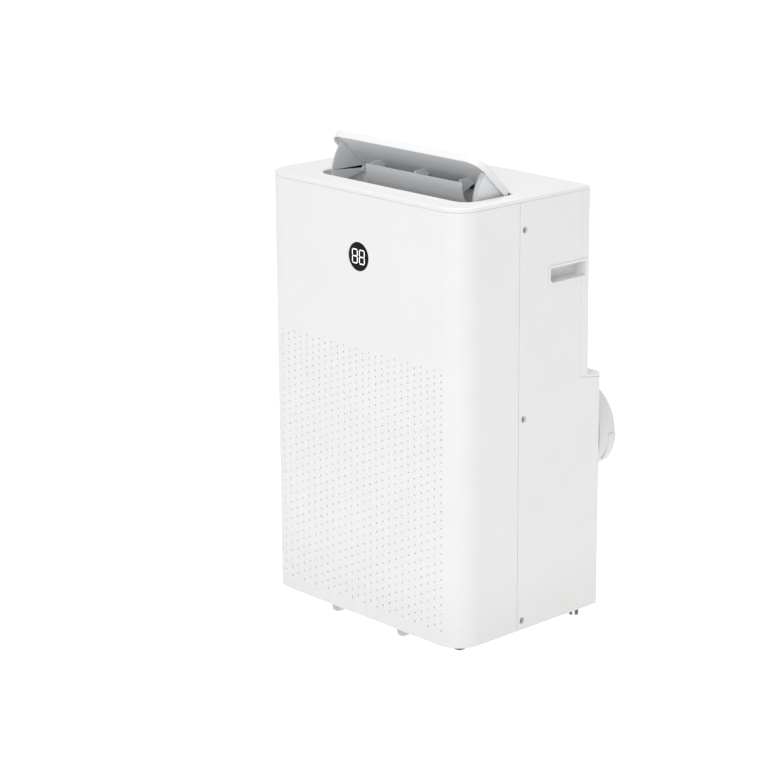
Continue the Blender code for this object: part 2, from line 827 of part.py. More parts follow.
def gear_outline(teeth, radius, start, count):
    """Corners of count straight-sided teeth on a circle, the first one's middle at start.

    Each corner is (radius, angle in degrees).
    """
    step = 360.0 / teeth
    tip = radius + 0.9 * GEAR_MODULE
    root = radius - 1.15 * GEAR_MODULE
    thin = math.degrees(BACKLASH / 2 / radius)
    corners = []
    for i in range(count):
        middle = start + i * step
        corners += [
            (root, middle - 0.36 * step + thin),
            (tip, middle - 0.13 * step + thin),
            (tip, middle + 0.13 * step - thin),
            (root, middle + 0.36 * step - thin),
        ]
    return corners


def flap_point(radius, angle):
    """A point of the closed flap's side view, at an angle below its forward direction."""
    turn = math.radians(angle)
    return (-radius * math.cos(turn), -radius * math.sin(turn))


def make_flap():
    """The flap's pieces, modelled closed about the hinge axis and then opened to the rest angle."""
    left = OPENING_LEFT + FLAP_GAP
    right = OPENING_RIGHT - FLAP_GAP
    front = OPENING_FRONT + FLAP_GAP - HINGE_Y
    top = HINGE_DROP - 0.5
    under = top - FLAP_THICKNESS
    radius = OPENING_RADIUS - FLAP_GAP
    low = top - FLAP_LIP
    outline = rectangle(left, right, front, FLAP_HEEL, (radius, radius, 4, 4), steps=8)
    cover = plate("flap_plate", outline, "Z", low, top)
    round_edges(cover, 1.0, 2, lambda middle, way: middle.z > top - 0.1 and abs(way.z) < 0.1)
    lip_inset = FLAP_LIP_WALL
    inside = rectangle(
        left + lip_inset,
        right - lip_inset,
        front + lip_inset,
        -FLAP_LIP_END,
        (radius - lip_inset, radius - lip_inset, 0, 0),
        steps=8,
    )
    hollow = plate("hollow", inside, "Z", low - 9, under)
    heel = box("heel", (left - 9, -FLAP_LIP_END - 0.01, low - 9), (right + 9, FLAP_HEEL + 9, under))
    cut(cover, hollow, heel)
    pieces = [cover, make_sector(right, under), make_wing(left, under), make_blade(under)]
    for name, side, near in (("flap_pin_right", 1, right), ("flap_pin_left", -1, left)):
        start = (near - side * (SECTOR_SIDE_GAP + 6), 0, 0)
        pieces.append(side_bar(name, side, start, HINGE_PIN_RADIUS, SECTOR_SIDE_GAP + 11, "zinc_steel", 16))
    for piece in pieces:
        piece.location = (0, HINGE_Y * MM, HINGE_Z * MM)
        piece.rotation_euler.x = math.radians(-FLAP_REST_ANGLE)


def hub_hole(side, near):
    base = (near, 0, 0)
    return side_bar("hub_hole", side, base, HINGE_PIN_RADIUS + GAP, 60, sides=16)


def sector_start():
    """The angle of the sector's first tooth below the flap's forward direction."""
    return math.degrees(math.asin(2.0 / SECTOR_RADIUS)) + 360.0 / SECTOR_TEETH


def make_sector(right, under):
    """The toothed side wing: a rim with gear teeth, a web, a hub and stiffening ribs."""
    outside = right - SECTOR_SIDE_GAP
    step = 360.0 / SECTOR_TEETH
    count = int(SECTOR_SPAN / step)
    start = sector_start()
    teeth = gear_outline(SECTOR_TEETH, SECTOR_RADIUS, start, count)
    end = start + (count - 0.5) * step
    inner = SECTOR_RADIUS - SECTOR_RIM
    ceiling = under - GAP
    rim = [flap_point(radius, angle) for radius, angle in teeth]
    rim += [flap_point(inner, end - (end - start) * i / 14) for i in range(15)]
    wing = plate("flap_sector", rim, "X", outside - SECTOR_WIDTH, outside)
    web = [flap_point(inner + 1, start + (end - start) * i / 14) for i in range(15)]
    web += [(0, -6.5), (6, 0), (6, ceiling), (-inner, ceiling)]
    join(wing, plate("web", web, "X", outside - SECTOR_WEB, outside - GAP))
    hub = side_bar("hub", 1, (outside - SECTOR_WIDTH, 0, 0), 7.0, SECTOR_WIDTH - 0.1)
    cut(hub, box("trim", (0, -20, ceiling), (400, 20, 20)))
    join(wing, hub)
    for angle in (14, 28, 42):
        rib = box("rib", (outside - SECTOR_WEB - 3, -34, -1), (outside - SECTOR_WEB + 0.5, -5, 1))
        rib.rotation_euler.x = math.radians(angle)
        join(wing, rib)
    cut(wing, hub_hole(1, outside - 30))
    wing.name = "flap_sector"
    return wing


def make_wing(left, under):
    """The plain wing at the flap's other end."""
    near = left + SECTOR_SIDE_GAP - 1.6
    outline = [flap_point(SECTOR_RADIUS, 2 + 60 * i / 14) for i in range(15)]
    outline += [(0, -6.5), (6, 0), (6, under - GAP), (-SECTOR_RADIUS + 1, under - GAP)]
    wing = plate("flap_wing", outline, "X", near, near + 2.5)
    hub = side_bar("hub", 1, (near + 0.1, 0, 0), 6.0, 8.0)
    cut(hub, box("trim", (-400, -20, under - GAP), (400, 20, 20)))
    join(wing, hub)
    cut(wing, hub_hole(1, near - 20))
    return wing


def make_blade(under):
    """The inner deflector blade that hangs under the flap on three gussets."""
    (y0, z0), (y1, z1) = BLADE_FRONT, BLADE_REAR
    across = Vector((y1 - y0, z1 - z0))
    normal = Vector((-across.y, across.x)).normalized()
    front_face = []
    rear_face = []
    for i in range(9):
        share = i / 8
        sag = BLADE_SAG * 4 * share * (1 - share)
        spine = Vector((y0, z0)) + across * share - normal * sag
        front_face.append(tuple(spine))
        rear_face.append(tuple(spine + normal * BLADE_THICKNESS))
    left = OPENING_CENTRE - BLADE_LENGTH / 2
    blade = plate("flap_blade", front_face + rear_face[::-1], "X", left, left + BLADE_LENGTH)
    gusset = [
        (y0 + 0.5, z0 + 0.3),
        (y0 + 0.5, z0 + 6),
        (y0 + 14, under - GAP),
        (y1 - 6, under - GAP),
        (y0 + across.x * 0.5, z0 + across.y * 0.5 - 2),
    ]
    spots = (left + 8, left + BLADE_LENGTH / 2, left + BLADE_LENGTH - 8 - GUSSET_THICKNESS)
    join(blade, *[plate("gusset", gusset, "X", x, x + GUSSET_THICKNESS) for x in spots])
    return blade


def pinion_place():
    angle = math.radians(PINION_ANGLE)
    reach = SECTOR_RADIUS + PINION_RADIUS
    return (HINGE_Y - reach * math.cos(angle), HINGE_Z - reach * math.sin(angle))


def make_flap_drive():
    """The pinion that drives the toothed wing, and its stepper motor outside the duct."""
    y, z = pinion_place()
    outside = OPENING_RIGHT - FLAP_GAP - SECTOR_SIDE_GAP
    sector_step = 360.0 / SECTOR_TEETH
    meshing = PINION_ANGLE + FLAP_REST_ANGLE  # the angle of the sector that faces the pinion at rest
    offset = (meshing - sector_start()) / sector_step
    offset -= round(offset)  # how far past a tooth's middle, in teeth
    pinion_step = 360.0 / PINION_TEETH
    facing = PINION_ANGLE  # towards the hinge, as an angle from +y to +z
    points = []
    for radius, angle in gear_outline(PINION_TEETH, PINION_RADIUS, 0, PINION_TEETH):
        turn = math.radians(facing + angle + (0.5 + offset) * pinion_step)
        points.append((y + radius * math.cos(turn), z + radius * math.sin(turn)))
    gear = plate("flap_pinion", points, "X", outside - SECTOR_WIDTH + 0.5, outside - 0.5, "inner_plastic")
    shaft_end = OPENING_RIGHT + DUCT_WALL + 8
    start = outside - SECTOR_WIDTH + 2
    join(gear, side_bar("shaft", 1, (start, y, z), PINION_SHAFT_RADIUS, shaft_end - start, sides=16))
    put_origin(gear, (outside, y, z))
    near = OPENING_RIGHT + DUCT_WALL + 2
    motor = side_bar("flap_motor", 1, (near, y, z), DRIVE_MOTOR_RADIUS, DRIVE_MOTOR_LENGTH, "zinc_steel")
    outline = rectangle(y - 21, y + 21, z - 3.5, z + 3.5, (3.4, 3.4, 3.4, 3.4))
    join(motor, plate("ears", outline, "X", near, near + 1.0))
    cut(motor, side_bar("bore", 1, (near - 9, y, z), PINION_SHAFT_RADIUS + FIT, 17, sides=16))


# ---------------------------------------------------------------- outlet duct and vanes


def make_outlet_duct():
    """The air channel under the flap's opening, with the rail that holds the swing vanes."""
    duct_top = CASE_TOP - TOP_THICKNESS - GAP
    duct = plate("outlet_duct", opening_outline(DUCT_WALL), "Z", DUCT_BOTTOM, duct_top, "inner_plastic")
    cut(duct, plate("bore", opening_outline(0), "Z", DUCT_BOTTOM + DUCT_WALL, duct_top + 9))
    rail = box(
        "rail",
        (OPENING_LEFT - 1, VANE_Y - RAIL_WIDTH / 2, RAIL_BOTTOM),
        (OPENING_RIGHT + 1, VANE_Y + RAIL_WIDTH / 2, RAIL_BOTTOM + RAIL_THICKNESS),
    )
    join(duct, rail)
    low, high = scroll_mouth(EVAPORATOR_FAN)
    throat = box(
        "throat",
        (low, EVAPORATOR_FAN["low"] + SCROLL_WALL, DUCT_BOTTOM - 9),
        (high, EVAPORATOR_FAN["high"] - SCROLL_WALL, DUCT_BOTTOM + 9),
    )
    y, z = pinion_place()
    holes = [side_bar("shaft_hole", 1, (OPENING_RIGHT - 6, y, z), PINION_SHAFT_RADIUS + FIT, 20, sides=16)]
    for x in (OPENING_LEFT - 10, OPENING_RIGHT - 10):
        holes.append(
            cylinder("pin_hole", (x, HINGE_Y, HINGE_Z), "X", HINGE_PIN_RADIUS + FIT, 20, sides=16)
        )
    for x in vane_places():
        holes.append(
            cylinder("vane_hole", (x, VANE_Y, RAIL_BOTTOM - 9), "Z", VANE_PIN_RADIUS + FIT, 30, sides=12)
        )
    cut(duct, throat, merged(holes))
    return duct


def vane_places():
    first = OPENING_CENTRE - VANE_PITCH * (VANE_COUNT - 1) / 2
    return [first + VANE_PITCH * i for i in range(VANE_COUNT)]


def make_vanes():
    """Upright vanes that steer the air sideways, and the link that turns them together."""
    top = RAIL_BOTTOM - 1.0
    back = VANE_LENGTH / 2
    for i, x in enumerate(vane_places()):
        vane = plate(
            f"swing_vane_{i + 1}",
            rectangle(VANE_Y - back, VANE_Y + back, top - VANE_HEIGHT, top, (6, 6, 6, 0), steps=3),
            "X",
            x - VANE_THICKNESS / 2,
            x + VANE_THICKNESS / 2,
            "inner_plastic",
        )
        pin = cylinder(
            "pin", (x, VANE_Y, top - 6), "Z", VANE_PIN_RADIUS, RAIL_THICKNESS + 9, sides=10
        )
        crank = cylinder(
            "crank", (x, VANE_Y - VANE_CRANK, top - 4), "Z", 1.25, LINK_THICKNESS + 6, sides=8
        )
        join(vane, pin, crank)
        put_origin(vane, (x, VANE_Y, top))
    places = vane_places()
    y = VANE_Y - VANE_CRANK
    drift = VANE_CRANK * (1 - math.cos(math.radians(VANE_SWING)))
    link = plate(
        "vane_link",
        rectangle(places[0] - 7, places[-1] + 7, y - 5, y + 5, (4, 4, 4, 4), steps=4),
        "Z",
        top + GAP,
        top + GAP + LINK_THICKNESS,
        "inner_plastic",
    )
    slots = [
        box("slot", (x - 2.1, y - 2.0, top - 9), (x + 2.1, y + drift + 2.0, top + 20)) for x in places
    ]
    cut(link, merged(slots))
    put_origin(link, (places[0], y, top))


# ---------------------------------------------------------------- fans


def scroll_outline(fan, inset):
    """A spiral fan casing in its own plane; its mouth faces the second coordinate."""
    a, b = fan["centre"]
    start = fan["radius"] + SCROLL_START - inset
    points = []
    for i in range(25):
        share = i / 24
        angle = math.radians(65 + (360 - 65) * share)
        radius = start + SCROLL_GROWTH * share
        points.append((a + radius * math.cos(angle), b + radius * math.sin(angle)))
    return points


def scroll_mouth(fan):
    """Where the mouth's inner faces lie along the first coordinate."""
    points = scroll_outline(fan, SCROLL_WALL)
    return points[0][0] + 2 * SCROLL_WALL, points[-1][0]


def scroll_shell(name, fan, mouth, axis, swap):
    """A spiral casing with its mouth at the given height, an inlet hole and a shaft hole."""
    a, b = fan["centre"]

    def outline(inset, rise):
        spiral = scroll_outline(fan, inset)
        first = spiral[0][0] + 2 * inset
        points = [(first, mouth + rise), *spiral, (spiral[-1][0], mouth + rise)]
        points[1] = (first, points[1][1])
        return [(second, first) for first, second in points] if swap else points

    low, high = fan["low"], fan["high"]
    shell = plate(name, outline(0, 0), axis, low, high, "inner_plastic")
    cavity = plate("cavity", outline(SCROLL_WALL, 20), axis, low + SCROLL_WALL, high - SCROLL_WALL)
    place = {"X": (0, b, a), "Y": (a, 0, b)}[axis]
    inlet_side, shaft_side = (low, high) if axis == "X" else (high, low)

    def hole(label, radius, at):
        base = list(place)
        base["XYZ".index(axis)] = at - 9
        return cylinder(label, base, axis, radius, 18, sides=24)

    cut(shell, cavity, hole("inlet", fan["radius"] - 14, inlet_side), hole("shaft", 12, shaft_side))
    return shell


def make_fan(name, fan, axis, shaft_side, shaft_length):
    """A drum fan: a back plate with its hub and shaft, blades and a front ring."""
    a, b = fan["centre"]
    radius = fan["radius"]
    clear = SCROLL_WALL + 3.5
    low, high = fan["low"] + clear, fan["high"] - clear
    place = {"X": (0, b, a), "Y": (a, 0, b)}[axis]

    def at(value):
        base = list(place)
        base["XYZ".index(axis)] = value
        return base

    plate_low = high - 2.4 if shaft_side > 0 else low
    ring_low = low if shaft_side > 0 else high - 2.4
    wheel = cylinder(name, at(plate_low), axis, radius, 2.4, "black_nylon", 32)
    ring = cylinder("ring", at(ring_low), axis, radius, 2.4, sides=32)
    cut(ring, cylinder("eye", at(ring_low - 9), axis, radius - 14, 20, sides=32))
    blades = []
    for i in range(FAN_BLADES):
        angle = 360.0 * i / FAN_BLADES
        blade = box("blade", (radius - 12.5, -0.7, low + 1.2), (radius - 0.6, 0.7, high - 1.2))
        tilt = Matrix.Translation((radius * MM, 0, 0)) @ Matrix.Rotation(math.radians(25), 4, "Z")
        tilt = tilt @ Matrix.Translation((-radius * MM, 0, 0))
        blade.data.transform(Matrix.Rotation(math.radians(angle), 4, "Z") @ tilt)
        blade.data.transform(Matrix.Translation(Vector(place) * MM) @ turn_from_z(axis))
        blades.append(blade)
    combine(wheel, [ring, merged(blades)], "UNION", "MANIFOLD")
    hub_low = plate_low - 10 if shaft_side > 0 else plate_low + 0.4
    join(wheel, cylinder("hub", at(hub_low), axis, 11, 12, sides=16))
    start = plate_low - 5 if shaft_side > 0 else plate_low + 7 - shaft_length
    join(wheel, cylinder("shaft", at(start), axis, SHAFT_RADIUS, shaft_length, sides=10))
    put_origin(wheel, at((low + high) / 2))
    return wheel


def make_fan_motor(name, fan, axis, side, length):
    """A round motor outside the casing, bored for the fan's shaft."""
    a, b = fan["centre"]
    start = fan["high"] + 3 if side > 0 else fan["low"] - 3 - length
    base = [0, b, a] if axis == "X" else [a, 0, b]
    base["XYZ".index(axis)] = start
    motor = cylinder(name, base, axis, MOTOR_RADIUS, length, "zinc_steel", 24)
    round_edges(motor, 3, 1, lambda middle, way: abs(way["XYZ".index(axis)]) < 0.1)
    base["XYZ".index(axis)] = start - 9
    cut(motor, cylinder("bore", base, axis, SHAFT_RADIUS + FIT, length + 18, sides=12))
    return motor


def make_fans():
    scroll_shell("evaporator_scroll", EVAPORATOR_FAN, DUCT_BOTTOM - GAP, "Y", False)
    scroll_shell("condenser_scroll", CONDENSER_FAN, LOWER_DEPTH - WALL - 10, "X", True)
    make_fan("evaporator_fan", EVAPORATOR_FAN, "Y", -1, 40)
    make_fan("condenser_fan", CONDENSER_FAN, "X", 1, 24)
    make_fan_motor("evaporator_motor", EVAPORATOR_FAN, "Y", -1, 38)
    make_fan_motor("condenser_motor", CONDENSER_FAN, "X", 1, 22)


# ---------------------------------------------------------------- rear pieces


def small_rear_holes():
    """Openings in the lower housing's rear wall for the cord gland and the drain."""
    return [
        cylinder("rear_hole", (x, LOWER_DEPTH - 20, z), "Y", radius + FIT, 40, sides=24)
        for x, z, radius in (GLAND_PLACE, DRAIN_PLACE, UPPER_DRAIN_PLACE)
    ]


def make_rear_fittings():
    """The cord gland and the two drain plugs."""
    x, z, radius = GLAND_PLACE
    back = LOWER_DEPTH + GAP
    profile = [
        (radius + 4, back + 3),
        (radius + 4, back),
        (radius, back),
        (radius, back - 8),
        (radius - 3, back - 8),
        (radius - 3, back + 9),
        (radius - 1, back + 9),
        (radius, back + 3),
    ]
    turned("cord_gland", profile, (x, 0, z), "Y", "rubber", 16)
    for name, place in (("drain_plug_lower", DRAIN_PLACE), ("drain_plug_upper", UPPER_DRAIN_PLACE)):
        x, z, radius = place
        plug = turned(
            name,
            [
                (0, back + 5),
                (radius + 2.5, back + 5),
                (radius + 3, back + 4),
                (radius + 3, back),
                (radius, back),
                (radius, back - 9),
                (0, back - 9),
            ],
            (x, 0, z),
            "Y",
            "white_plastic",
            16,
        )
        around = radius + 9
        grips = [
            box("grip", (x + start, back + 1.5, z - around), (x + end, back + 20, z + around))
            for start, end in ((-around, -GRIP_THICKNESS / 2), (GRIP_THICKNESS / 2, around))
        ]
        cut(plug, *grips)


def make_exhaust_connector():
    """The round collar for the exhaust hose, with two bayonet lugs."""
    inner = CONNECTOR_RADIUS - CONNECTOR_WALL
    low = LOWER_DEPTH - CONNECTOR_SPIGOT
    base = LOWER_DEPTH + GAP
    end = LOWER_DEPTH + CONNECTOR_REACH
    profile = [
        (CONNECTOR_RADIUS - 1.2, end),
        (CONNECTOR_RADIUS, end - 1.2),
        (CONNECTOR_RADIUS, base + 3),
        (CONNECTOR_RADIUS + CONNECTOR_FLANGE, base + 3),
        (CONNECTOR_RADIUS + CONNECTOR_FLANGE, base),
        (inner, base),
        (inner, low),
        (inner - CONNECTOR_WALL, low),
        (inner - CONNECTOR_WALL, base + 1),
        (inner, base + 6),
        (inner, end),
    ]
    place = (CONNECTOR_X, 0, CASE_LOW + CONNECTOR_HEIGHT)
    collar = turned("exhaust_connector", profile, place, "Y", "inner_plastic", 48)
    centre = (place[0], place[2])
    for start in LUG_STARTS:
        lug = arc(centre, CONNECTOR_RADIUS + CONNECTOR_LUG, start, start + LUG_SPAN, 6)
        lug += arc(centre, CONNECTOR_RADIUS - 1, start + LUG_SPAN, start, 6)
        join(collar, plate("lug", lug, "Y", end - 16, end - 2))
    return collar


def louvre_slots(left, right, low, high, depth, columns):
    """Cutters for rows of horizontal slots between two corners, with bars between the columns."""
    bar = GRILLE_BAR
    width = (right - left - bar * (columns + 1)) / columns
    rows = int((high - low - 2 * bar + GRILLE_PITCH - GRILLE_SLOT) / GRILLE_PITCH)
    first = (low + high - (rows - 1) * GRILLE_PITCH - GRILLE_SLOT) / 2
    slots = []
    for row in range(rows):
        z = first + row * GRILLE_PITCH
        for column in range(columns):
            x = left + bar + column * (width + bar)
            slots.append(box("slot", (x, depth[0], z), (x + width, depth[1], z + GRILLE_SLOT)))
    return merged(slots)


def make_upper_grille():
    """The hinged intake grille in the rear cover, with the filter frame that clips behind it."""
    low = UPPER_DEPTH - GRILLE_THICKNESS
    grille = box(
        "intake_grille",
        (-GRILLE_HALF_WIDTH, low, GRILLE_LOW),
        (GRILLE_HALF_WIDTH, UPPER_DEPTH, GRILLE_HIGH),
    )
    cut(
        grille,
        louvre_slots(
            -GRILLE_HALF_WIDTH, GRILLE_HALF_WIDTH, GRILLE_LOW, GRILLE_HIGH, (low - 9, UPPER_DEPTH + 9), 2
        ),
    )
    rear = low - FILTER_GAP
    left = FILTER_MARGIN - GRILLE_HALF_WIDTH
    bottom = GRILLE_LOW + GRILLE_BAR
    top = GRILLE_HIGH - GRILLE_BAR
    frame = box("air_filter", (left, rear - FILTER_THICKNESS, bottom), (-left, rear, top), "grey_plastic")
    wide = (-2 * left - FILTER_BAR) / FILTER_COLUMNS
    high = (top - bottom - FILTER_BAR) / FILTER_ROWS
    cells = []
    for column in range(FILTER_COLUMNS):
        for row in range(FILTER_ROWS):
            x = left + FILTER_BAR + column * wide
            z = bottom + FILTER_BAR + row * high
            far = (x + wide - FILTER_BAR, rear + 9, z + high - FILTER_BAR)
            cells.append(box("cell", (x, rear - 9, z), far))
    cut(frame, merged(cells))
    axis = (0, UPPER_DEPTH - GRILLE_THICKNESS / 2, GRILLE_LOW + GRILLE_HINGE_RISE)
    put_origin(grille, axis)
    put_origin(frame, axis)


def make_lower_grille():
    low = LOWER_DEPTH - WALL
    grille = box(
        "condenser_grille",
        (LOWER_GRILLE_LEFT, low, LOWER_GRILLE_LOW),
        (LOWER_GRILLE_RIGHT, LOWER_DEPTH, LOWER_GRILLE_HIGH),
    )
    cut(
        grille,
        louvre_slots(
            LOWER_GRILLE_LEFT,
            LOWER_GRILLE_RIGHT,
            LOWER_GRILLE_LOW,
            LOWER_GRILLE_HIGH,
            (low - 9, LOWER_DEPTH + 9),
            2,
        ),
    )


# ---------------------------------------------------------------- base


def caster_places():
    """(name, x, y, trail angle) of the four casters."""
    places = []
    for row, label in enumerate(("front", "rear")):
        for side, name in ((-1, "left"), (1, "right")):
            angle = CASTER_TRAIL_ANGLES[row] if side > 0 else 180 - CASTER_TRAIL_ANGLES[row]
            places.append((f"{label}_{name}", side * CASTER_X[row], CASTER_Y[row], angle))
    return places


def caster_sweep():
    return math.hypot(CASTER_TRAIL + CASTER_RADIUS, CASTER_WIDTH / 2)


def make_base_pan():
    """The floor tray, with a raised pocket over each caster and the stem's hole in it."""
    inset = WALL + TONGUE + 4 * FIT
    low = CASE_LOW + 2
    plan = cabinet_plan(inset, LOWER_DEPTH, LOWER_REAR_RADIUS)
    pan = plate("base_pan", plan, "Z", low, low + PAN_WALL, "inner_plastic")
    inner = cabinet_plan(inset + PAN_THICKNESS, LOWER_DEPTH, LOWER_REAR_RADIUS)
    cut(pan, plate("hollow", inner, "Z", low + PAN_THICKNESS, low + PAN_WALL + 9))
    roof = CASTER_TOP + GAP
    radius = caster_sweep() + 1.2
    for _, x, y, _ in caster_places():
        height = roof + PAN_THICKNESS - low
        pocket = cylinder("pocket", (x, y, low), "Z", radius + PAN_THICKNESS, height, sides=24)
        keep = plate("keep", plan, "Z", low - 9, roof + 20)
        combine(pocket, [keep], "INTERSECT")
        join(pan, pocket)
    for _, x, y, _ in caster_places():
        cut(pan, cylinder("room", (x, y, low - 9), "Z", radius, roof - low + 9, sides=24))
        cut(pan, cylinder("stem_hole", (x, y, roof - 9), "Z", CASTER_STEM_RADIUS + FIT, 30, sides=12))
    return pan


def make_casters():
    """Each caster is a swivel yoke with a stem, and a twin wheel whose axle runs through the yoke's web."""
    half = CASTER_WIDTH / 2
    inner = CASTER_DISC_INNER
    axle = CASTER_AXLE_RADIUS
    centre = CASTER_RADIUS
    hood_low = 2 * CASTER_RADIUS + 1.5
    for name, x, y, angle in caster_places():
        hood = CASTER_TOP - hood_low
        base = (0, 0, hood_low)
        yoke = cylinder(f"caster_yoke_{name}", base, "Z", CASTER_HUB_RADIUS, hood, "black_nylon", 20)
        profile = rectangle(
            CASTER_TRAIL - 7, CASTER_TRAIL + 7, centre - 7, hood_low + 4, (6.9, 6.9, 0, 0), steps=4
        )
        web = plate("web", profile, "Y", -CASTER_WEB / 2, CASTER_WEB / 2)
        join(yoke, web, cylinder("stem", (0, 0, CASTER_TOP - 2), "Z", CASTER_STEM_RADIUS, 12, sides=10))
        cut(yoke, cylinder("bore", (CASTER_TRAIL, -9, centre), "Y", axle + FIT, 18, sides=12))
        profile = [
            (0, half),
            (CASTER_RADIUS - 1.5, half),
            (CASTER_RADIUS, half - 1.5),
            (CASTER_RADIUS, inner + 1),
            (CASTER_RADIUS - 1, inner),
            (axle, inner),
            (axle, -inner),
            (CASTER_RADIUS - 1, -inner),
            (CASTER_RADIUS, -inner - 1),
            (CASTER_RADIUS, 1.5 - half),
            (CASTER_RADIUS - 1.5, -half),
            (0, -half),
        ]
        wheel = turned(f"caster_wheel_{name}", profile, (0, 0, 0), "Y", "black_nylon", 24)
        turn = math.radians(angle)
        yoke.location = (x * MM, y * MM, 0)
        reach_x = x + CASTER_TRAIL * math.cos(turn)
        reach_y = y + CASTER_TRAIL * math.sin(turn)
        wheel.location = (reach_x * MM, reach_y * MM, centre * MM)
        for piece in (yoke, wheel):
            piece.rotation_euler.z = turn


def make_skid_feet():
    """Two small feet that keep the front edge off the floor when the cabinet is tipped."""
    top = CASE_LOW + 2 - GAP
    low = CASE_LOW - SKID_DEPTH
    half = SKID_WIDTH / 2
    edge = SKID_THICKNESS / 2
    for name, x in (("skid_foot_left", -SKID_X), ("skid_foot_right", SKID_X)):
        outline = rounded(
            [(x - half, top), (x - half * 0.6, low), (x + half * 0.6, low), (x + half, top)], (0, 5, 5, 0)
        )
        plate(name, outline, "Y", SKID_Y - edge, SKID_Y + edge, "grey_plastic")


# ---------------------------------------------------------------- inside the cabinet


def make_partition_deck():
    """The tray between the cold upper part and the warm lower part, which also catches the condensate."""
    inset = WALL + TONGUE + 4 * FIT
    low = SHOULDER + DECK_RISE
    rear = REAR_SEAM - WALL - FIT + inset
    deck = plate(
        "partition_deck", cabinet_plan(inset, rear, 0), "Z", low, low + DECK_HEIGHT, "inner_plastic"
    )
    cut(deck, plate("tray", cabinet_plan(inset + DECK_WALL, rear, 0), "Z", low + DECK_WALL, low + 30))


def coil(name, low, high, tube_axis, rows):
    """A finned coil: a slab with grooves between groups of fins and return bends on its ends."""
    block = box(name, low, high, "aluminium_fin")
    index = "XYZ".index(tube_axis)
    thin = min((0, 1, 2), key=lambda i: high[i] - low[i])
    grooves = []
    for i in range(1, COIL_FIN_GROUPS):
        middle = low[index] + (high[index] - low[index]) * i / COIL_FIN_GROUPS
        near, far = list(low), list(high)
        near[thin] -= 9
        far[thin] = low[thin] + 2.0
        near[2] += 6
        far[2] -= 6
        near[index], far[index] = middle - 1.0, middle + 1.0
        grooves.append(box("groove", near, far))
    cut(block, merged(grooves))
    centre = (low[thin] + high[thin]) / 2
    bends = []
    for i in range(rows):
        z = low[2] + (high[2] - low[2]) * (i + 0.5) / rows
        size = (high[2] - low[2]) / rows * 0.5
        near, far = list(low), list(high)
        near[thin], far[thin] = centre - 3.5, centre + 3.5
        near[2], far[2] = z - size / 2, z + size / 2
        near[index], far[index] = high[index] - 0.5, high[index] + COIL_BEND
        bends.append(box("bend", near, far))
    join(block, merged(bends))
    return block


def make_cooling_circuit():
    side = HALF_WIDTH - EVAPORATOR_SIDE_ROOM
    rear = REAR_SEAM - EVAPORATOR_REAR_ROOM
    coil(
        "evaporator_coil",
        (-side, rear - EVAPORATOR_THICKNESS, SHOULDER + CIRCUIT_GAP),
        (side - COIL_BEND, rear, SHELL_TOP - EVAPORATOR_TOP_ROOM),
        "X",
        7,
    )
    coil(
        "condenser_coil",
        (CONDENSER_X, CONDENSER_FRONT, CASE_LOW + CONDENSER_LOW),
        (CONDENSER_X + CONDENSER_THICKNESS, LOWER_DEPTH - CONDENSER_REAR_ROOM, SHOULDER - CONDENSER_TOP_ROOM),
        "Y",
        10,
    )
    x, y = COMPRESSOR_PLACE
    low = CASE_LOW + 2 + PAN_THICKNESS + GAP
    radius = COMPRESSOR_RADIUS
    profile = [
        (0, COMPRESSOR_HEIGHT),
        (radius * 0.5, COMPRESSOR_HEIGHT - 2),
        (radius * 0.85, COMPRESSOR_HEIGHT - 12),
        (radius, COMPRESSOR_HEIGHT - 34),
        (radius, 40),
        (radius * 0.85, 22),
        (radius * 0.5, 14),
        (0, 12),
    ]
    body = turned("compressor", profile, (x, y, low), "Z", "black_steel", 28)
    feet = []
    for angle in (90, 210, 330):
        turn = math.radians(angle)
        reach = radius + 16
        foot = (x + reach * math.cos(turn), y + reach * math.sin(turn), low)
        feet.append(cylinder("foot", foot, "Z", 12, 12, sides=12))
        arm = box("arm", (-8, -11, low + 4), (reach + 6, 11, low + 30))
        arm.data.transform(Matrix.Rotation(turn, 4, "Z"))
        arm.data.transform(Matrix.Translation((x * MM, y * MM, 0)))
        feet.append(arm)
    tank_x = x - ACCUMULATOR_REACH
    wide = ACCUMULATOR_RADIUS
    crown = ACCUMULATOR_TOP
    profile = [(0, crown), (wide - 8, crown - 4), (wide, crown - 18), (wide, 62), (wide - 8, 48), (0, 44)]
    tank = turned("tank", profile, (tank_x, y, low), "Z", "black_steel", 16)
    strap = box("strap", (tank_x + wide / 2, y - 5, low + 100), (x - radius * 0.8, y + 5, low + 125))
    join(body, *feet, tank, strap)
    top = low + COMPRESSOR_HEIGHT + GAP
    bend = SHOULDER + DECK_RISE - 34
    curve = [(tank_x, y, low + crown + GAP), (tank_x, y, bend)]
    curve += [(tank_x + 10 * i, y, bend + 12 * math.sin(math.pi / 6 * i)) for i in (1, 2, 3)]
    curve += [(x - 20, y, bend + 12)]
    tube("suction_pipe", curve, 5.0)
    run = [(x, y, top), (x, y, top + 18)]
    run += [(x + 12 * i, y - 4 * i, top + 18 + 5 * math.sin(math.pi / 6 * i)) for i in (1, 2, 3)]
    run += [(CONDENSER_X - 12, y - 30, top + 23)]
    tube("discharge_pipe", run, 4.0)


def make_control_box():
    low = SHOULDER + CIRCUIT_GAP
    left = CONTROL_BOX_ROOM - HALF_WIDTH
    right = left + CONTROL_BOX_WIDTH
    front = CONTROL_BOX_FRONT
    rear = front + CONTROL_BOX_DEPTH
    case = box("control_box", (left, front, low), (right, rear, low + CONTROL_BOX_HEIGHT), "grey_plastic")
    round_edges(case, 3, 2, lambda middle, way: is_upright(way))
    ribs = [
        box("rib", (left + 4, front - 3, low + 20 + 30 * i), (right - 4, front + 1, low + 26 + 30 * i))
        for i in range(6)
    ]
    join(case, merged(ribs))


# ---------------------------------------------------------------- the whole


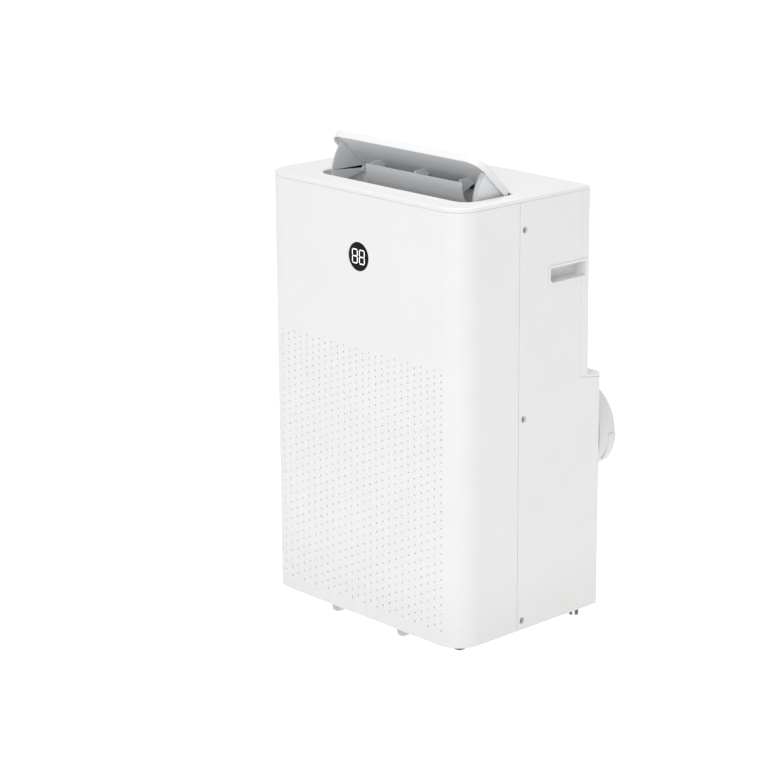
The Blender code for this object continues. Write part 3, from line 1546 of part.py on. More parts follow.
def main():
    make_front_shell()
    make_body_shell()
    make_rear_cover()
    make_top_cover()
    make_base_pan()
    make_casters()
    make_skid_feet()
    make_outlet_duct()
    make_flap()
    make_flap_drive()
    make_vanes()
    make_fans()
    make_display()
    make_handle("handle_left", -1)
    make_handle("handle_right", 1)
    for side, label in ((-1, "left"), (1, "right")):
        for number, height in enumerate(SCREW_HEIGHTS, 1):
            make_screw(f"side_screw_{label}_{number}", side, height)
    make_exhaust_connector()
    make_rear_fittings()
    make_upper_grille()
    make_lower_grille()
    make_partition_deck()
    make_cooling_circuit()
    make_control_box()
    root = bpy.data.objects.new("cabinet_frame", None)
    PARTS.objects.link(root)
    root.location = (0, -TOTAL_DEPTH / 2 * MM, 0)
    for obj in list(PARTS.objects):
        if obj is not root:
            obj.parent = root
            smooth(obj)


main()
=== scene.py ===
"""Portable air conditioner: the visible pieces and finishes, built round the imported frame.

Sizes are in millimetres and are measured as the cabinet is made: x runs across, y runs back from the front
face and z runs up from the floor. A bench turns them into metres in the frame's own axes.
"""

from __future__ import annotations

import json
import logging
import math
from dataclasses import dataclass
from enum import Enum
from typing import Callable, Iterable, Sequence

import bmesh
import bpy
from mathutils import Matrix, Vector

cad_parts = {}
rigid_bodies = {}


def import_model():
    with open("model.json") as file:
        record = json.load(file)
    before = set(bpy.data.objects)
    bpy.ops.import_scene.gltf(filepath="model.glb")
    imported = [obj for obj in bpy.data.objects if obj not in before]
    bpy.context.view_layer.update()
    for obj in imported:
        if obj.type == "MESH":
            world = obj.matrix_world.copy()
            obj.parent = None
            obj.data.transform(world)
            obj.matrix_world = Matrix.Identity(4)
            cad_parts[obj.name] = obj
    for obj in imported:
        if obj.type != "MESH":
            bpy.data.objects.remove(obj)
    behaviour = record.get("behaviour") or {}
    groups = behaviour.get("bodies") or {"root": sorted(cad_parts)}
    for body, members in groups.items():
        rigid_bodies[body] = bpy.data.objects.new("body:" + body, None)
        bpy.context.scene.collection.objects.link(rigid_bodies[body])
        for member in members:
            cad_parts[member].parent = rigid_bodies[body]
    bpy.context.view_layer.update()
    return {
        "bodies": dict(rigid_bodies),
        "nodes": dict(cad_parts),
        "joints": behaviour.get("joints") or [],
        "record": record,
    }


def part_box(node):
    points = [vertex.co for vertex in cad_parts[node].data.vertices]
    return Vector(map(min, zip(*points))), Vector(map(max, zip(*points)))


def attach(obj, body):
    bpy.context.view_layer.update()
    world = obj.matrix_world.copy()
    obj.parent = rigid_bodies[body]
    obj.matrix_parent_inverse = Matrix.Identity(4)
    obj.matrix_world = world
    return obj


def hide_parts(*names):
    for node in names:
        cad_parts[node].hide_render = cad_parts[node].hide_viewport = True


LOG = logging.getLogger("air_conditioner")
MM = 0.001
Point2 = tuple[float, float]
Point3 = tuple[float, float, float]
Piece = bpy.types.Object
Mesh = bmesh.types.BMesh
Vertex = bmesh.types.BMVert
Grid = list[list[Vertex]]
Socket = bpy.types.NodeSocket

# (x, z, radius) of what passes through the lower housing's rear
CONNECTOR = (151.0, 323.0, 79.0)
GLAND = (95.0, 90.0, 7.0)
PLUGS = {"lower": (-20.0, 62.0, 9.0), "upper": (56.0, 412.0, 6.0)}


class Axis(Enum):
    """The three directions that a piece can be turned or extruded along."""

    X = 0
    Y = 1
    Z = 2


class Side(Enum):
    """The cabinet's two sides, seen from the front."""

    LEFT = -1
    RIGHT = 1


# ---------------------------------------------------------------- finishes


def linear(hex_colour: str) -> tuple[float, float, float, float]:
    """Turn an sRGB hex value into the linear colour that a shader takes.

    Args:
        hex_colour: six hex digits, with or without a leading #.

    Returns:
        Red, green, blue and an alpha of 1.
    """
    digits = hex_colour.lstrip("#")
    channels = [int(digits[i : i + 2], 16) / 255 for i in (0, 2, 4)]
    red, green, blue = (c / 12.92 if c <= 0.04045 else ((c + 0.055) / 1.055) ** 2.4 for c in channels)
    return (red, green, blue, 1.0)


def add_node(
    tree: bpy.types.NodeTree,
    kind: str,
    values: dict[str | int, object] | None = None,
    links: dict[str | int, Socket] | None = None,
    **settings: object,
) -> bpy.types.Node:
    """Add a node with its settings, its socket values and its links.

    Args:
        tree: the material's node tree.
        kind: the node's type name without its ShaderNode prefix.
        values: input sockets, by name or number, and the constants set on them.
        links: input sockets, by name or number, and the outputs that feed them.
        settings: the node's own attributes.

    Returns:
        The new node.
    """
    node = tree.nodes.new("ShaderNode" + kind)
    for name, value in settings.items():
        setattr(node, name, value)
    fill_sockets(tree, node, values or {}, links or {})
    return node


def fill_sockets(
    tree: bpy.types.NodeTree,
    node: bpy.types.Node,
    values: dict[str | int, object],
    links: dict[str | int, Socket],
) -> None:
    """Set constants on a node's input sockets and link outputs into others.

    Args:
        tree: the material's node tree.
        node: the node whose sockets are filled.
        values: input sockets and the constants set on them.
        links: input sockets and the outputs that feed them.
    """
    for socket, value in values.items():
        node.inputs[socket].default_value = value
    for socket, output in links.items():
        tree.links.new(output, node.inputs[socket])


def per_metre(size_mm: float) -> float:
    """The noise scale whose features are about this many millimetres across."""
    return 1.0 / (size_mm * MM)


class Coat:
    """A material being made: its node tree, its shader and the piece's own coordinates."""

    def __init__(self, name: str) -> None:
        """Start the material.

        Args:
            name: the material's name.
        """
        self.material = bpy.data.materials.new(name)
        self.material.use_nodes = True
        self.tree = self.material.node_tree
        self.shader = self.tree.nodes["Principled BSDF"]
        self.place = add_node(self.tree, "TexCoord").outputs["Object"]

    def finish(self, values: dict[str, object], links: dict[str, Socket]) -> bpy.types.Material:
        """Set the shader's constants, link what varies into it and hand the material over."""
        fill_sockets(self.tree, self.shader, values, links)
        return self.material


@dataclass(frozen=True)
class Moulded:
    """A moulded polymer: faint mottling, a fine eroded grain and a little settled dust low down.

    The grain is the mould's spark-eroded texture, about 0.1 mm on real ABS. It is drawn several times
    coarser, because the true one is finer than a rendered picture can show.
    """

    name: str
    colour: str
    shade: str
    roughness: float = 0.42
    grain_mm: float = 0.7
    grain_depth_mm: float = 0.012
    flow_mm: float = 85.0
    dust: float = 0.25
    dust_colour: str = "#b9b4a8"
    dust_height: float = 0.16
    dust_mm: float = 22.0
    ior: float = 1.53

    def build(self) -> bpy.types.Material:
        """Make the material.

        Returns:
            The material.
        """
        coat = Coat(self.name)
        tree, place = coat.tree, {"Vector": coat.place}
        flow = add_node(
            tree, "TexNoise", {"Scale": per_metre(self.flow_mm), "Detail": 4.0, "Roughness": 0.55}, place
        )
        grain = add_node(
            tree, "TexNoise", {"Scale": per_metre(self.grain_mm), "Detail": 2.0, "Roughness": 0.5}, place
        )
        speck = add_node(
            tree, "TexVoronoi", {"Scale": per_metre(self.grain_mm * 1.6)}, place, feature="SMOOTH_F1"
        )
        shades = {6: linear(self.colour), 7: linear(self.shade)}
        body = add_node(tree, "Mix", shades, {0: flow.outputs["Fac"]}, data_type="RGBA")
        height = add_node(tree, "SeparateXYZ", links={0: coat.place}).outputs["Z"]
        low = add_node(
            tree,
            "MapRange",
            {"From Min": 0.0, "From Max": self.dust_height, "To Min": self.dust, "To Max": 0.0},
            {"Value": height},
            interpolation_type="SMOOTHSTEP",
        )
        cloud = add_node(
            tree, "TexNoise", {"Scale": per_metre(self.dust_mm), "Detail": 6.0, "Roughness": 0.7}, place
        )
        settled = add_node(
            tree, "Math", links={0: low.outputs["Result"], 1: cloud.outputs["Fac"]}, operation="MULTIPLY"
        )
        layers = {0: settled.outputs[0], 6: body.outputs[2]}
        dusty = add_node(tree, "Mix", {7: linear(self.dust_colour)}, layers, data_type="RGBA")
        sheen = {"To Min": self.roughness - 0.05, "To Max": self.roughness + 0.07}
        gloss = add_node(tree, "MapRange", sheen, {"Value": flow.outputs["Fac"]})
        relief = add_node(
            tree, "Math", links={0: grain.outputs["Fac"], 1: speck.outputs["Distance"]}, operation="ADD"
        )
        depth = {"Strength": 0.55, "Distance": self.grain_depth_mm * MM}
        bump = add_node(tree, "Bump", depth, {"Height": relief.outputs[0]})
        varied = {
            "Base Color": dusty.outputs[2],
            "Roughness": gloss.outputs["Result"],
            "Normal": bump.outputs["Normal"],
        }
        return coat.finish({"IOR": self.ior}, varied)


@dataclass(frozen=True)
class Metal:
    """A metal with fine marks from how it was worked, stretched along one direction.

    The marks are drawn at about a third of a millimetre, coarser than a real drawn surface has them.
    """

    name: str
    colour: str
    stain: str
    roughness: float
    mark_mm: float = 0.35
    stretch: Point3 = (1.0, 1.0, 1.0)
    mark_depth_mm: float = 0.01
    stain_mm: float = 14.0
    metallic: float = 1.0

    def build(self) -> bpy.types.Material:
        """Make the material.

        Returns:
            The material.
        """
        coat = Coat(self.name)
        tree, place = coat.tree, {"Vector": coat.place}
        along = add_node(tree, "Mapping", {"Scale": self.stretch}, place)
        drawn = {"Scale": per_metre(self.mark_mm), "Detail": 3.0}
        marks = add_node(tree, "TexNoise", drawn, {"Vector": along.outputs["Vector"]})
        tarnish = add_node(
            tree, "TexNoise", {"Scale": per_metre(self.stain_mm), "Detail": 6.0, "Roughness": 0.65}, place
        )
        shades = {6: linear(self.colour), 7: linear(self.stain)}
        colour = add_node(tree, "Mix", shades, {0: tarnish.outputs["Fac"]}, data_type="RGBA")
        sheen = {"To Min": self.roughness - 0.08, "To Max": self.roughness + 0.14}
        gloss = add_node(tree, "MapRange", sheen, {"Value": tarnish.outputs["Fac"]})
        depth = {"Strength": 0.5, "Distance": self.mark_depth_mm * MM}
        bump = add_node(tree, "Bump", depth, {"Height": marks.outputs["Fac"]})
        varied = {
            "Base Color": colour.outputs[2],
            "Roughness": gloss.outputs["Result"],
            "Normal": bump.outputs["Normal"],
        }
        return coat.finish({"Metallic": self.metallic}, varied)


@dataclass(frozen=True)
class TintedAcrylic:
    """Polished black acrylic: a deep gloss with the faintest haze and a few dust specks."""

    name: str = "tinted_acrylic"
    colour: str = "#020203"
    speck_colour: str = "#2b2c2e"
    speck_mm: float = 1.1
    haze_mm: float = 9.0

    def build(self) -> bpy.types.Material:
        """Make the material.

        Returns:
            The material.
        """
        coat = Coat(self.name)
        tree, place = coat.tree, {"Vector": coat.place}
        haze = add_node(tree, "TexNoise", {"Scale": per_metre(self.haze_mm), "Detail": 5.0}, place)
        specks = add_node(tree, "TexVoronoi", {"Scale": per_metre(self.speck_mm)}, place)
        fade = {"From Min": 0.0, "From Max": 0.09, "To Min": 0.35, "To Max": 0.0}
        spots = add_node(tree, "MapRange", fade, {"Value": specks.outputs["Distance"]})
        shades = {6: linear(self.colour), 7: linear(self.speck_colour)}
        colour = add_node(tree, "Mix", shades, {0: spots.outputs["Result"]}, data_type="RGBA")
        gloss = add_node(tree, "MapRange", {"To Min": 0.05, "To Max": 0.16}, {"Value": haze.outputs["Fac"]})
        fixed = {"IOR": 1.49, "Specular IOR Level": 0.12}
        return coat.finish(fixed, {"Base Color": colour.outputs[2], "Roughness": gloss.outputs["Result"]})


@dataclass(frozen=True)
class LitSegment:
    """A light-emitting digit segment: even cool white that varies faintly from spot to spot."""

    name: str = "lit_segment"
    colour: str = "#f3f6fb"
    shade: str = "#dfe6ef"
    strength: float = 1.1

    def build(self) -> bpy.types.Material:
        """Make the material.

        Returns:
            The material.
        """
        coat = Coat(self.name)
        spread = add_node(coat.tree, "TexNoise", {"Scale": per_metre(1.5)}, {"Vector": coat.place})
        shades = {6: linear(self.colour), 7: linear(self.shade)}
        mixed = add_node(coat.tree, "Mix", shades, {0: spread.outputs["Fac"]}, data_type="RGBA")
        colour = mixed.outputs[2]
        fixed = {"Roughness": 0.35, "Emission Strength": self.strength}
        return coat.finish(fixed, {"Base Color": colour, "Emission Color": colour})


class Finishes:
    """Every finish on the machine, made once and handed to the pieces by name."""

    def __init__(self) -> None:
        """Build each material."""
        recipes = {
            # satin white moulded ABS: an even soft sheen, faint mottling, fine eroded grain
            "case": Moulded("white_abs", "#ececec", "#e7e7e7"),
            # the same polymer where it isn't a show face: a little greyer and rougher
            "inner": Moulded("inner_abs", "#e2e3e3", "#dadbdc", roughness=0.5, dust=0.3),
            # the flap's ABS: high up and often wiped, so it has no dust
            "flap": Moulded("flap_abs", "#ecedee", "#e6e8ea", roughness=0.4, dust=0.0),
            # filled polypropylene: mid grey, matt, with visible flow marks
            "grey": Moulded("grey_polypropylene", "#c9cbcc", "#bcbec0", roughness=0.55, grain_mm=0.9),
            # glass-filled nylon: near black, dull, with a coarse grain
            "nylon": Moulded("black_nylon", "#1c1c1e", "#262628", roughness=0.5, grain_mm=0.8, dust=0.35),
            # soft PVC and rubber: dark, dull, slightly blotched
            "rubber": Moulded("black_rubber", "#1d1d1e", "#2a2a2b", roughness=0.72, grain_mm=1.2, dust=0.3),
            # the filter's frame and net: dark grey polyester
            "filter": Moulded("filter_polyester", "#5a5e61", "#4c5053", roughness=0.65, grain_mm=1.0),
            # solder mask on glass epoxy
            "board": Moulded("solder_mask", "#1a5a38", "#164c30", roughness=0.35, grain_mm=1.4),
            # zinc-plated steel: cool, slightly cloudy
            "zinc": Metal("zinc_plated_steel", "#c9cacb", "#a9abab", 0.36),
            # aluminium fin stock: bright, drawn along its length
            "fin": Metal("aluminium_fin_stock", "#d8dadb", "#bfc2c4", 0.38, stretch=(1.0, 1.0, 0.06)),
            # bare copper tube with brown tarnish
            "copper": Metal("copper_tube", "#d98a63", "#9c5a3c", 0.32, stain_mm=9.0),
            # black enamel on steel: dark, semi-gloss, with an orange-peel surface
            "enamel": Metal("black_enamel", "#1d1e20", "#2a2b2d", 0.34, mark_mm=1.6, metallic=0.0),
        }
        self.made = {key: recipe.build() for key, recipe in recipes.items()}
        self.made["acrylic"] = TintedAcrylic().build()
        self.made["light"] = LitSegment().build()

    def __getitem__(self, key: str) -> bpy.types.Material:
        """The finish with this name."""
        return self.made[key]


# ---------------------------------------------------------------- shapes


def arc(centre: Point2, radius: float, start: float, end: float, steps: int) -> list[Point2]:
    """Points on an arc, both ends included; angles in degrees."""
    turns = (math.radians(start + (end - start) * i / steps) for i in range(steps + 1))
    return [(centre[0] + radius * math.cos(turn), centre[1] + radius * math.sin(turn)) for turn in turns]


def circle(radius: float, sides: int) -> list[Point2]:
    """Points round a whole circle about the origin."""
    turns = (2 * math.pi * i / sides for i in range(sides))
    return [(radius * math.cos(turn), radius * math.sin(turn)) for turn in turns]


def bridge(bm: Mesh, rings: Sequence[Sequence[Vertex]]) -> None:
    """Join each ring of vertices to the next with a band of faces.

    Args:
        bm: the mesh that is being made.
        rings: rings of vertices, all of one length.
    """
    for first, second in zip(rings, rings[1:]):
        for i in range(len(first)):
            bm.faces.new((first[i - 1], first[i], second[i], second[i - 1]))


def rounded(corners: Sequence[Point2], radii: Sequence[float], steps: int) -> list[Point2]:
    """The outline through the corners, each one rounded to its own radius.

    Args:
        corners: the outline's corners in order.
        radii: one radius for each corner; 0 leaves it sharp.
        steps: how many straight pieces a rounded corner has.

    Returns:
        The outline's points in order.
    """
    outline: list[Point2] = []
    for i, (corner, radius) in enumerate(zip(corners, radii)):
        here = Vector(corner)
        if radius <= 0:
            outline.append((here.x, here.y))
            continue
        to_last = (Vector(corners[i - 1]) - here).normalized()
        to_next = (Vector(corners[(i + 1) % len(corners)]) - here).normalized()
        half = to_last.angle(to_next) / 2
        centre = here + (to_last + to_next).normalized() * radius / math.sin(half)
        first = here + to_last * radius / math.tan(half) - centre
        last = here + to_next * radius / math.tan(half) - centre
        start = math.atan2(first.y, first.x)
        sweep = (math.atan2(last.y, last.x) - start + math.pi) % (2 * math.pi) - math.pi
        turns = (math.degrees(start), math.degrees(start + sweep))
        outline += arc((centre.x, centre.y), radius, *turns, steps)
    return outline


def rectangle(
    left: float, right: float, low: float, high: float, radii: Sequence[float], steps: int
) -> list[Point2]:
    """A rectangle whose corners are rounded in the order left-low, right-low, right-high, left-high."""
    return rounded([(left, low), (right, low), (right, high), (left, high)], radii, steps)


class Bench:
    """Makes meshes in millimetres and puts them where they belong in the frame."""

    def __init__(self, place: Matrix) -> None:
        """Keep the matrix that takes this bench's millimetres to metres in the frame."""
        self.place = place
        self.back = place.inverted()

    @classmethod
    def at(cls, spot: Point3 = (0.0, 0.0, 0.0), degrees: float = 0.0, about: Axis = Axis.Z) -> Bench:
        """A bench with its origin at a point of the cabinet, turned about an axis of the frame.

        Args:
            spot: its origin in the cabinet's millimetres.
            degrees: how far it is turned.
            about: the axis that it is turned about.

        Returns:
            The bench.
        """
        x, y, z = spot
        place = Matrix.Translation((x * MM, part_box("front_shell")[0].y + y * MM, z * MM))
        return cls(place @ Matrix.Rotation(math.radians(degrees), 4, about.name) @ Matrix.Scale(MM, 4))

    def extent(self, node: str) -> tuple[Point3, Point3]:
        """A frame node's lowest and highest corners on this bench."""
        low, high = (self.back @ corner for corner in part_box(node))
        return (low.x, low.y, low.z), (high.x, high.y, high.z)

    def add(self, name: str, bm: Mesh) -> Piece:
        """Turn a bmesh in millimetres into an object, and free it.

        Args:
            name: the piece's name.
            bm: the mesh in millimetres.

        Returns:
            The new object.
        """
        bmesh.ops.recalc_face_normals(bm, faces=bm.faces)
        bm.transform(self.place)
        mesh = bpy.data.meshes.new(name)
        bm.to_mesh(mesh)
        bm.free()
        obj = bpy.data.objects.new(name, mesh)
        bpy.context.scene.collection.objects.link(obj)
        return obj

    def box(self, name: str, low: Point3, high: Point3) -> Piece:
        """A box between two corners.

        Args:
            name: the piece's name.
            low: its lowest corner.
            high: its highest corner.

        Returns:
            The box.
        """
        bm = bmesh.new()
        size = Vector(high) - Vector(low)
        centre = (Vector(high) + Vector(low)) / 2
        place = Matrix.Translation(centre) @ Matrix.Diagonal((*size, 1.0))
        bmesh.ops.create_cube(bm, size=1.0, matrix=place)
        return self.add(name, bm)

    def bar(
        self, name: str, base: Point3, axis: Axis, radius: float, length: float, sides: int = 48
    ) -> Piece:
        """A round bar from base along +axis.

        Args:
            name: the piece's name.
            base: where it starts.
            axis: the direction that it runs in.
            radius: its radius.
            length: how long it is.
            sides: how many sides its circle has.

        Returns:
            The bar.
        """
        bm = bmesh.new()
        turn = self.turn(axis)
        centre = Vector(base) + turn @ Vector((0, 0, length / 2))
        bmesh.ops.create_cone(
            bm,
            cap_ends=True,
            segments=sides,
            radius1=radius,
            radius2=radius,
            depth=length,
            matrix=Matrix.Translation(centre) @ turn,
        )
        return self.add(name, bm)

    @staticmethod
    def turn(axis: Axis) -> Matrix:
        """The rotation that takes +Z to an axis.

        Args:
            axis: the axis that +Z is to point along.

        Returns:
            The rotation.
        """
        if axis is Axis.X:
            return Matrix.Rotation(math.pi / 2, 4, "Y")
        if axis is Axis.Y:
            return Matrix.Rotation(-math.pi / 2, 4, "X")
        return Matrix.Identity(4)

    @staticmethod
    def spot(axis: Axis, a: float, b: float, along: float) -> Vector:
        """A point given by its outline's two coordinates and its place along the axis.

        Args:
            axis: the axis.
            a: the outline's first coordinate.
            b: the outline's second coordinate.
            along: the place along the axis.

        Returns:
            The point.
        """
        if axis is Axis.X:
            return Vector((along, a, b))
        if axis is Axis.Y:
            return Vector((a, along, b))
        return Vector((a, b, along))

    def plate(self, name: str, outline: Sequence[Point2], axis: Axis, low: float, high: float) -> Piece:
        """A flat outline extruded along an axis.

        Args:
            name: the piece's name.
            outline: (y, z) points for X, (x, z) for Y and (x, y) for Z.
            axis: the direction of the extrusion.
            low: where it starts.
            high: where it ends.

        Returns:
            The solid plate.
        """
        bm = bmesh.new()
        near = [bm.verts.new(self.spot(axis, a, b, low)) for a, b in outline]
        far = [bm.verts.new(self.spot(axis, a, b, high)) for a, b in outline]
        bm.faces.new(near)
        bm.faces.new(far)
        bridge(bm, (near, far))
        return self.add(name, bm)

    def turned(
        self, name: str, profile: Sequence[Point2], base: Point3, axis: Axis, steps: int = 64
    ) -> Piece:
        """A profile of (radius, height) points turned about an axis.

        Args:
            name: the piece's name.
            profile: a closed ring of points, or an open one with both ends on the axis.
            base: where the axis starts.
            axis: the axis's direction.
            steps: how many straight pieces a turn has.

        Returns:
            The turned solid.
        """
        bm = bmesh.new()
        move = Matrix.Translation(base) @ self.turn(axis)
        rings: list[list[Vertex]] = []
        for radius, height in profile:
            if radius < 1e-6:
                rings.append([bm.verts.new(move @ Vector((0, 0, height)))])
                continue
            rings.append([bm.verts.new(move @ Vector((*point, height))) for point in circle(radius, steps)])
        closed = profile[0][0] > 0 and profile[-1][0] > 0
        for i in range(len(rings) - (0 if closed else 1)):
            first, second = rings[i], rings[(i + 1) % len(rings)]
            for k in range(steps):
                corners = [first[k % len(first)], first[(k + 1) % len(first)]]
                corners += [second[(k + 1) % len(second)], second[k % len(second)]]
                unique = list(dict.fromkeys(corners))
                if len(unique) > 2:
                    bm.faces.new(unique)
        return self.add(name, bm)

    def tube(self, name: str, route: Sequence[Point3], radius: float, sides: int = 12) -> Piece:
        """A round tube swept along a route of points.

        Args:
            name: the piece's name.
            route: the points on its middle line.
            radius: its radius.
            sides: how many straight pieces the circle has.

        Returns:
            The tube.
        """
        bm = bmesh.new()
        points = [Vector(point) for point in route]
        rings = []
        for i, point in enumerate(points):
            way = (points[min(i + 1, len(points) - 1)] - points[max(i - 1, 0)]).normalized()
            across = way.orthogonal() if abs(way.z) > 0.999 else way.cross(Vector((0, 0, 1)))
            across.normalize()
            up = across.cross(way)
            ring = (point + (across * a + up * b) * radius for a, b in circle(1.0, sides))
            rings.append([bm.verts.new(spot) for spot in ring])
        for first, second in zip(rings, rings[1:]):
            shift = min(range(sides), key=lambda k: (second[k].co - first[0].co).length)
            second[:] = second[shift:] + second[:shift]
        bridge(bm, rings)
        bm.faces.new(rings[0])
        bm.faces.new(rings[-1])
        return self.add(name, bm)

    def round_edges(
        self,
        obj: Piece,
        radius: float,
        steps: int,
        chosen: Callable[[Vector, Vector], bool],
    ) -> Piece:
        """Round the edges for which chosen(middle, direction) holds, both in this bench's millimetres.

        Args:
            obj: the piece.
            radius: the rounding's radius.
            steps: how many faces the rounding has.
            chosen: says of an edge, by its middle and its direction, whether it is rounded.

        Returns:
            The same piece.
        """
        bm = bmesh.new()
        bm.from_mesh(obj.data)
        bm.transform(self.back)
        edges = []
        for edge in bm.edges:
            start, end = (vertex.co for vertex in edge.verts)
            if chosen((start + end) / 2, (end - start).normalized()):
                edges.append(edge)
        bmesh.ops.bevel(
            bm, geom=edges, offset=radius, segments=steps, profile=0.5, affect="EDGES", clamp_overlap=True
        )
        bmesh.ops.dissolve_degenerate(bm, dist=1e-4, edges=bm.edges)
        bm.transform(self.place)
        bm.to_mesh(obj.data)
        bm.free()
        return obj


def baked(obj: Piece) -> Piece:
    """Apply the object's modifiers to its mesh.

    Args:
        obj: the piece.

    Returns:
        The same piece.
    """
    graph = bpy.context.evaluated_depsgraph_get()
    mesh = bpy.data.meshes.new_from_object(obj.evaluated_get(graph))
    obj.modifiers.clear()
    obj.data = mesh
    return obj


def combine(obj: Piece, tools: Sequence[Piece], operation: str) -> Piece:
    """Apply Booleans to an object with tools that are then removed.

    Args:
        obj: the piece.
        tools: the bodies to cut out or to join on.
        operation: DIFFERENCE or UNION.

    Returns:
        The same piece.
    """
    for tool in tools:
        modifier = obj.modifiers.new(operation.lower(), "BOOLEAN")
        modifier.operation = operation
        modifier.solver = "EXACT"
        modifier.object = tool
    baked(obj)
    for tool in tools:
        bpy.data.objects.remove(tool)
    return obj


def cut(obj: Piece, *tools: Piece) -> Piece:
    """Cut the tools out of an object."""
    return combine(obj, tools, "DIFFERENCE")


def join(obj: Piece, *others: Piece) -> Piece:
    """Join others to an object."""
    return combine(obj, others, "UNION")


def merged(name: str, objects: Iterable[Piece]) -> Piece:
    """Gather separate bodies in one mesh, without joining their surfaces.

    Args:
        name: the piece's name.
        objects: the separate bodies.

    Returns:
        The gathered piece.
    """
    bm = bmesh.new()
    for obj in objects:
        bm.from_mesh(obj.data)
        bpy.data.objects.remove(obj)
    mesh = bpy.data.meshes.new(name)
    bm.to_mesh(mesh)
    bm.free()
    gathered = bpy.data.objects.new(name, mesh)
    bpy.context.scene.collection.objects.link(gathered)
    return gathered


def soften(obj: Piece, width_mm: float, segments: int = 2, angle: float = 35.0) -> Piece:
    """Break the object's sharp edges with a small radius, as a mould leaves them.

    Args:
        obj: the piece.
        width_mm: how wide the broken edge is, in millimetres.
        segments: how many faces go round the edge.
        angle: edges sharper than this many degrees are broken.

    Returns:
        The same piece.
    """
    bevel = obj.modifiers.new("soften", "BEVEL")
    bevel.width = width_mm * MM
    bevel.segments = segments
    bevel.limit_method = "ANGLE"
    bevel.angle_limit = math.radians(angle)
    bevel.use_clamp_overlap = True
    return baked(obj)


@dataclass
class Dresser:
    """Gives pieces their finish and body, hides the frame nodes that they stand for, and reports each one.
    """

    finishes: Finishes
    count: int = 0

    def dress(
        self,
        obj: Piece,
        finish: str,
        body: str = "cabinet",
        crease: float = 32.0,
        node: str = "",
    ) -> None:
        """Finish a piece. One that is named NODE_skin stands for the frame's NODE.

        Args:
            obj: the piece.
            finish: the finish's name in Finishes.
            body: the moving body that it rides on.
            crease: edges sharper than this many degrees stay sharp.
            node: the frame's node that it stands for, where its name doesn't say so.
        """
        obj.data.materials.clear()
        obj.data.materials.append(self.finishes[finish])
        obj.data.shade_smooth()
        obj.data.set_sharp_from_angle(angle=math.radians(crease))
        weighted = obj.modifiers.new("flat_faces", "WEIGHTED_NORMAL")
        weighted.keep_sharp = True
        weighted.weight = 100
        baked(obj)
        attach(obj, body)
        replaced = node or obj.name.removesuffix("_skin")
        if replaced != obj.name:
            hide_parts(replaced)
        self.count += 1
        LOG.info("%s: %d faces on %s", obj.name, len(obj.data.polygons), body)

    def keep(self, frame: dict, nodes: Iterable[str], finish: str) -> None:
        """Give frame nodes whose shape stays a finish of their own.

        Args:
            frame: the loaded frame.
            nodes: the frame nodes' names.
            finish: the finish's name in Finishes.
        """
        for node in nodes:
            obj = frame["nodes"][node]
            obj.data.materials.clear()
            obj.data.materials.append(self.finishes[finish])
            LOG.info("%s: kept, %s", node, finish)


# ---------------------------------------------------------------- the front


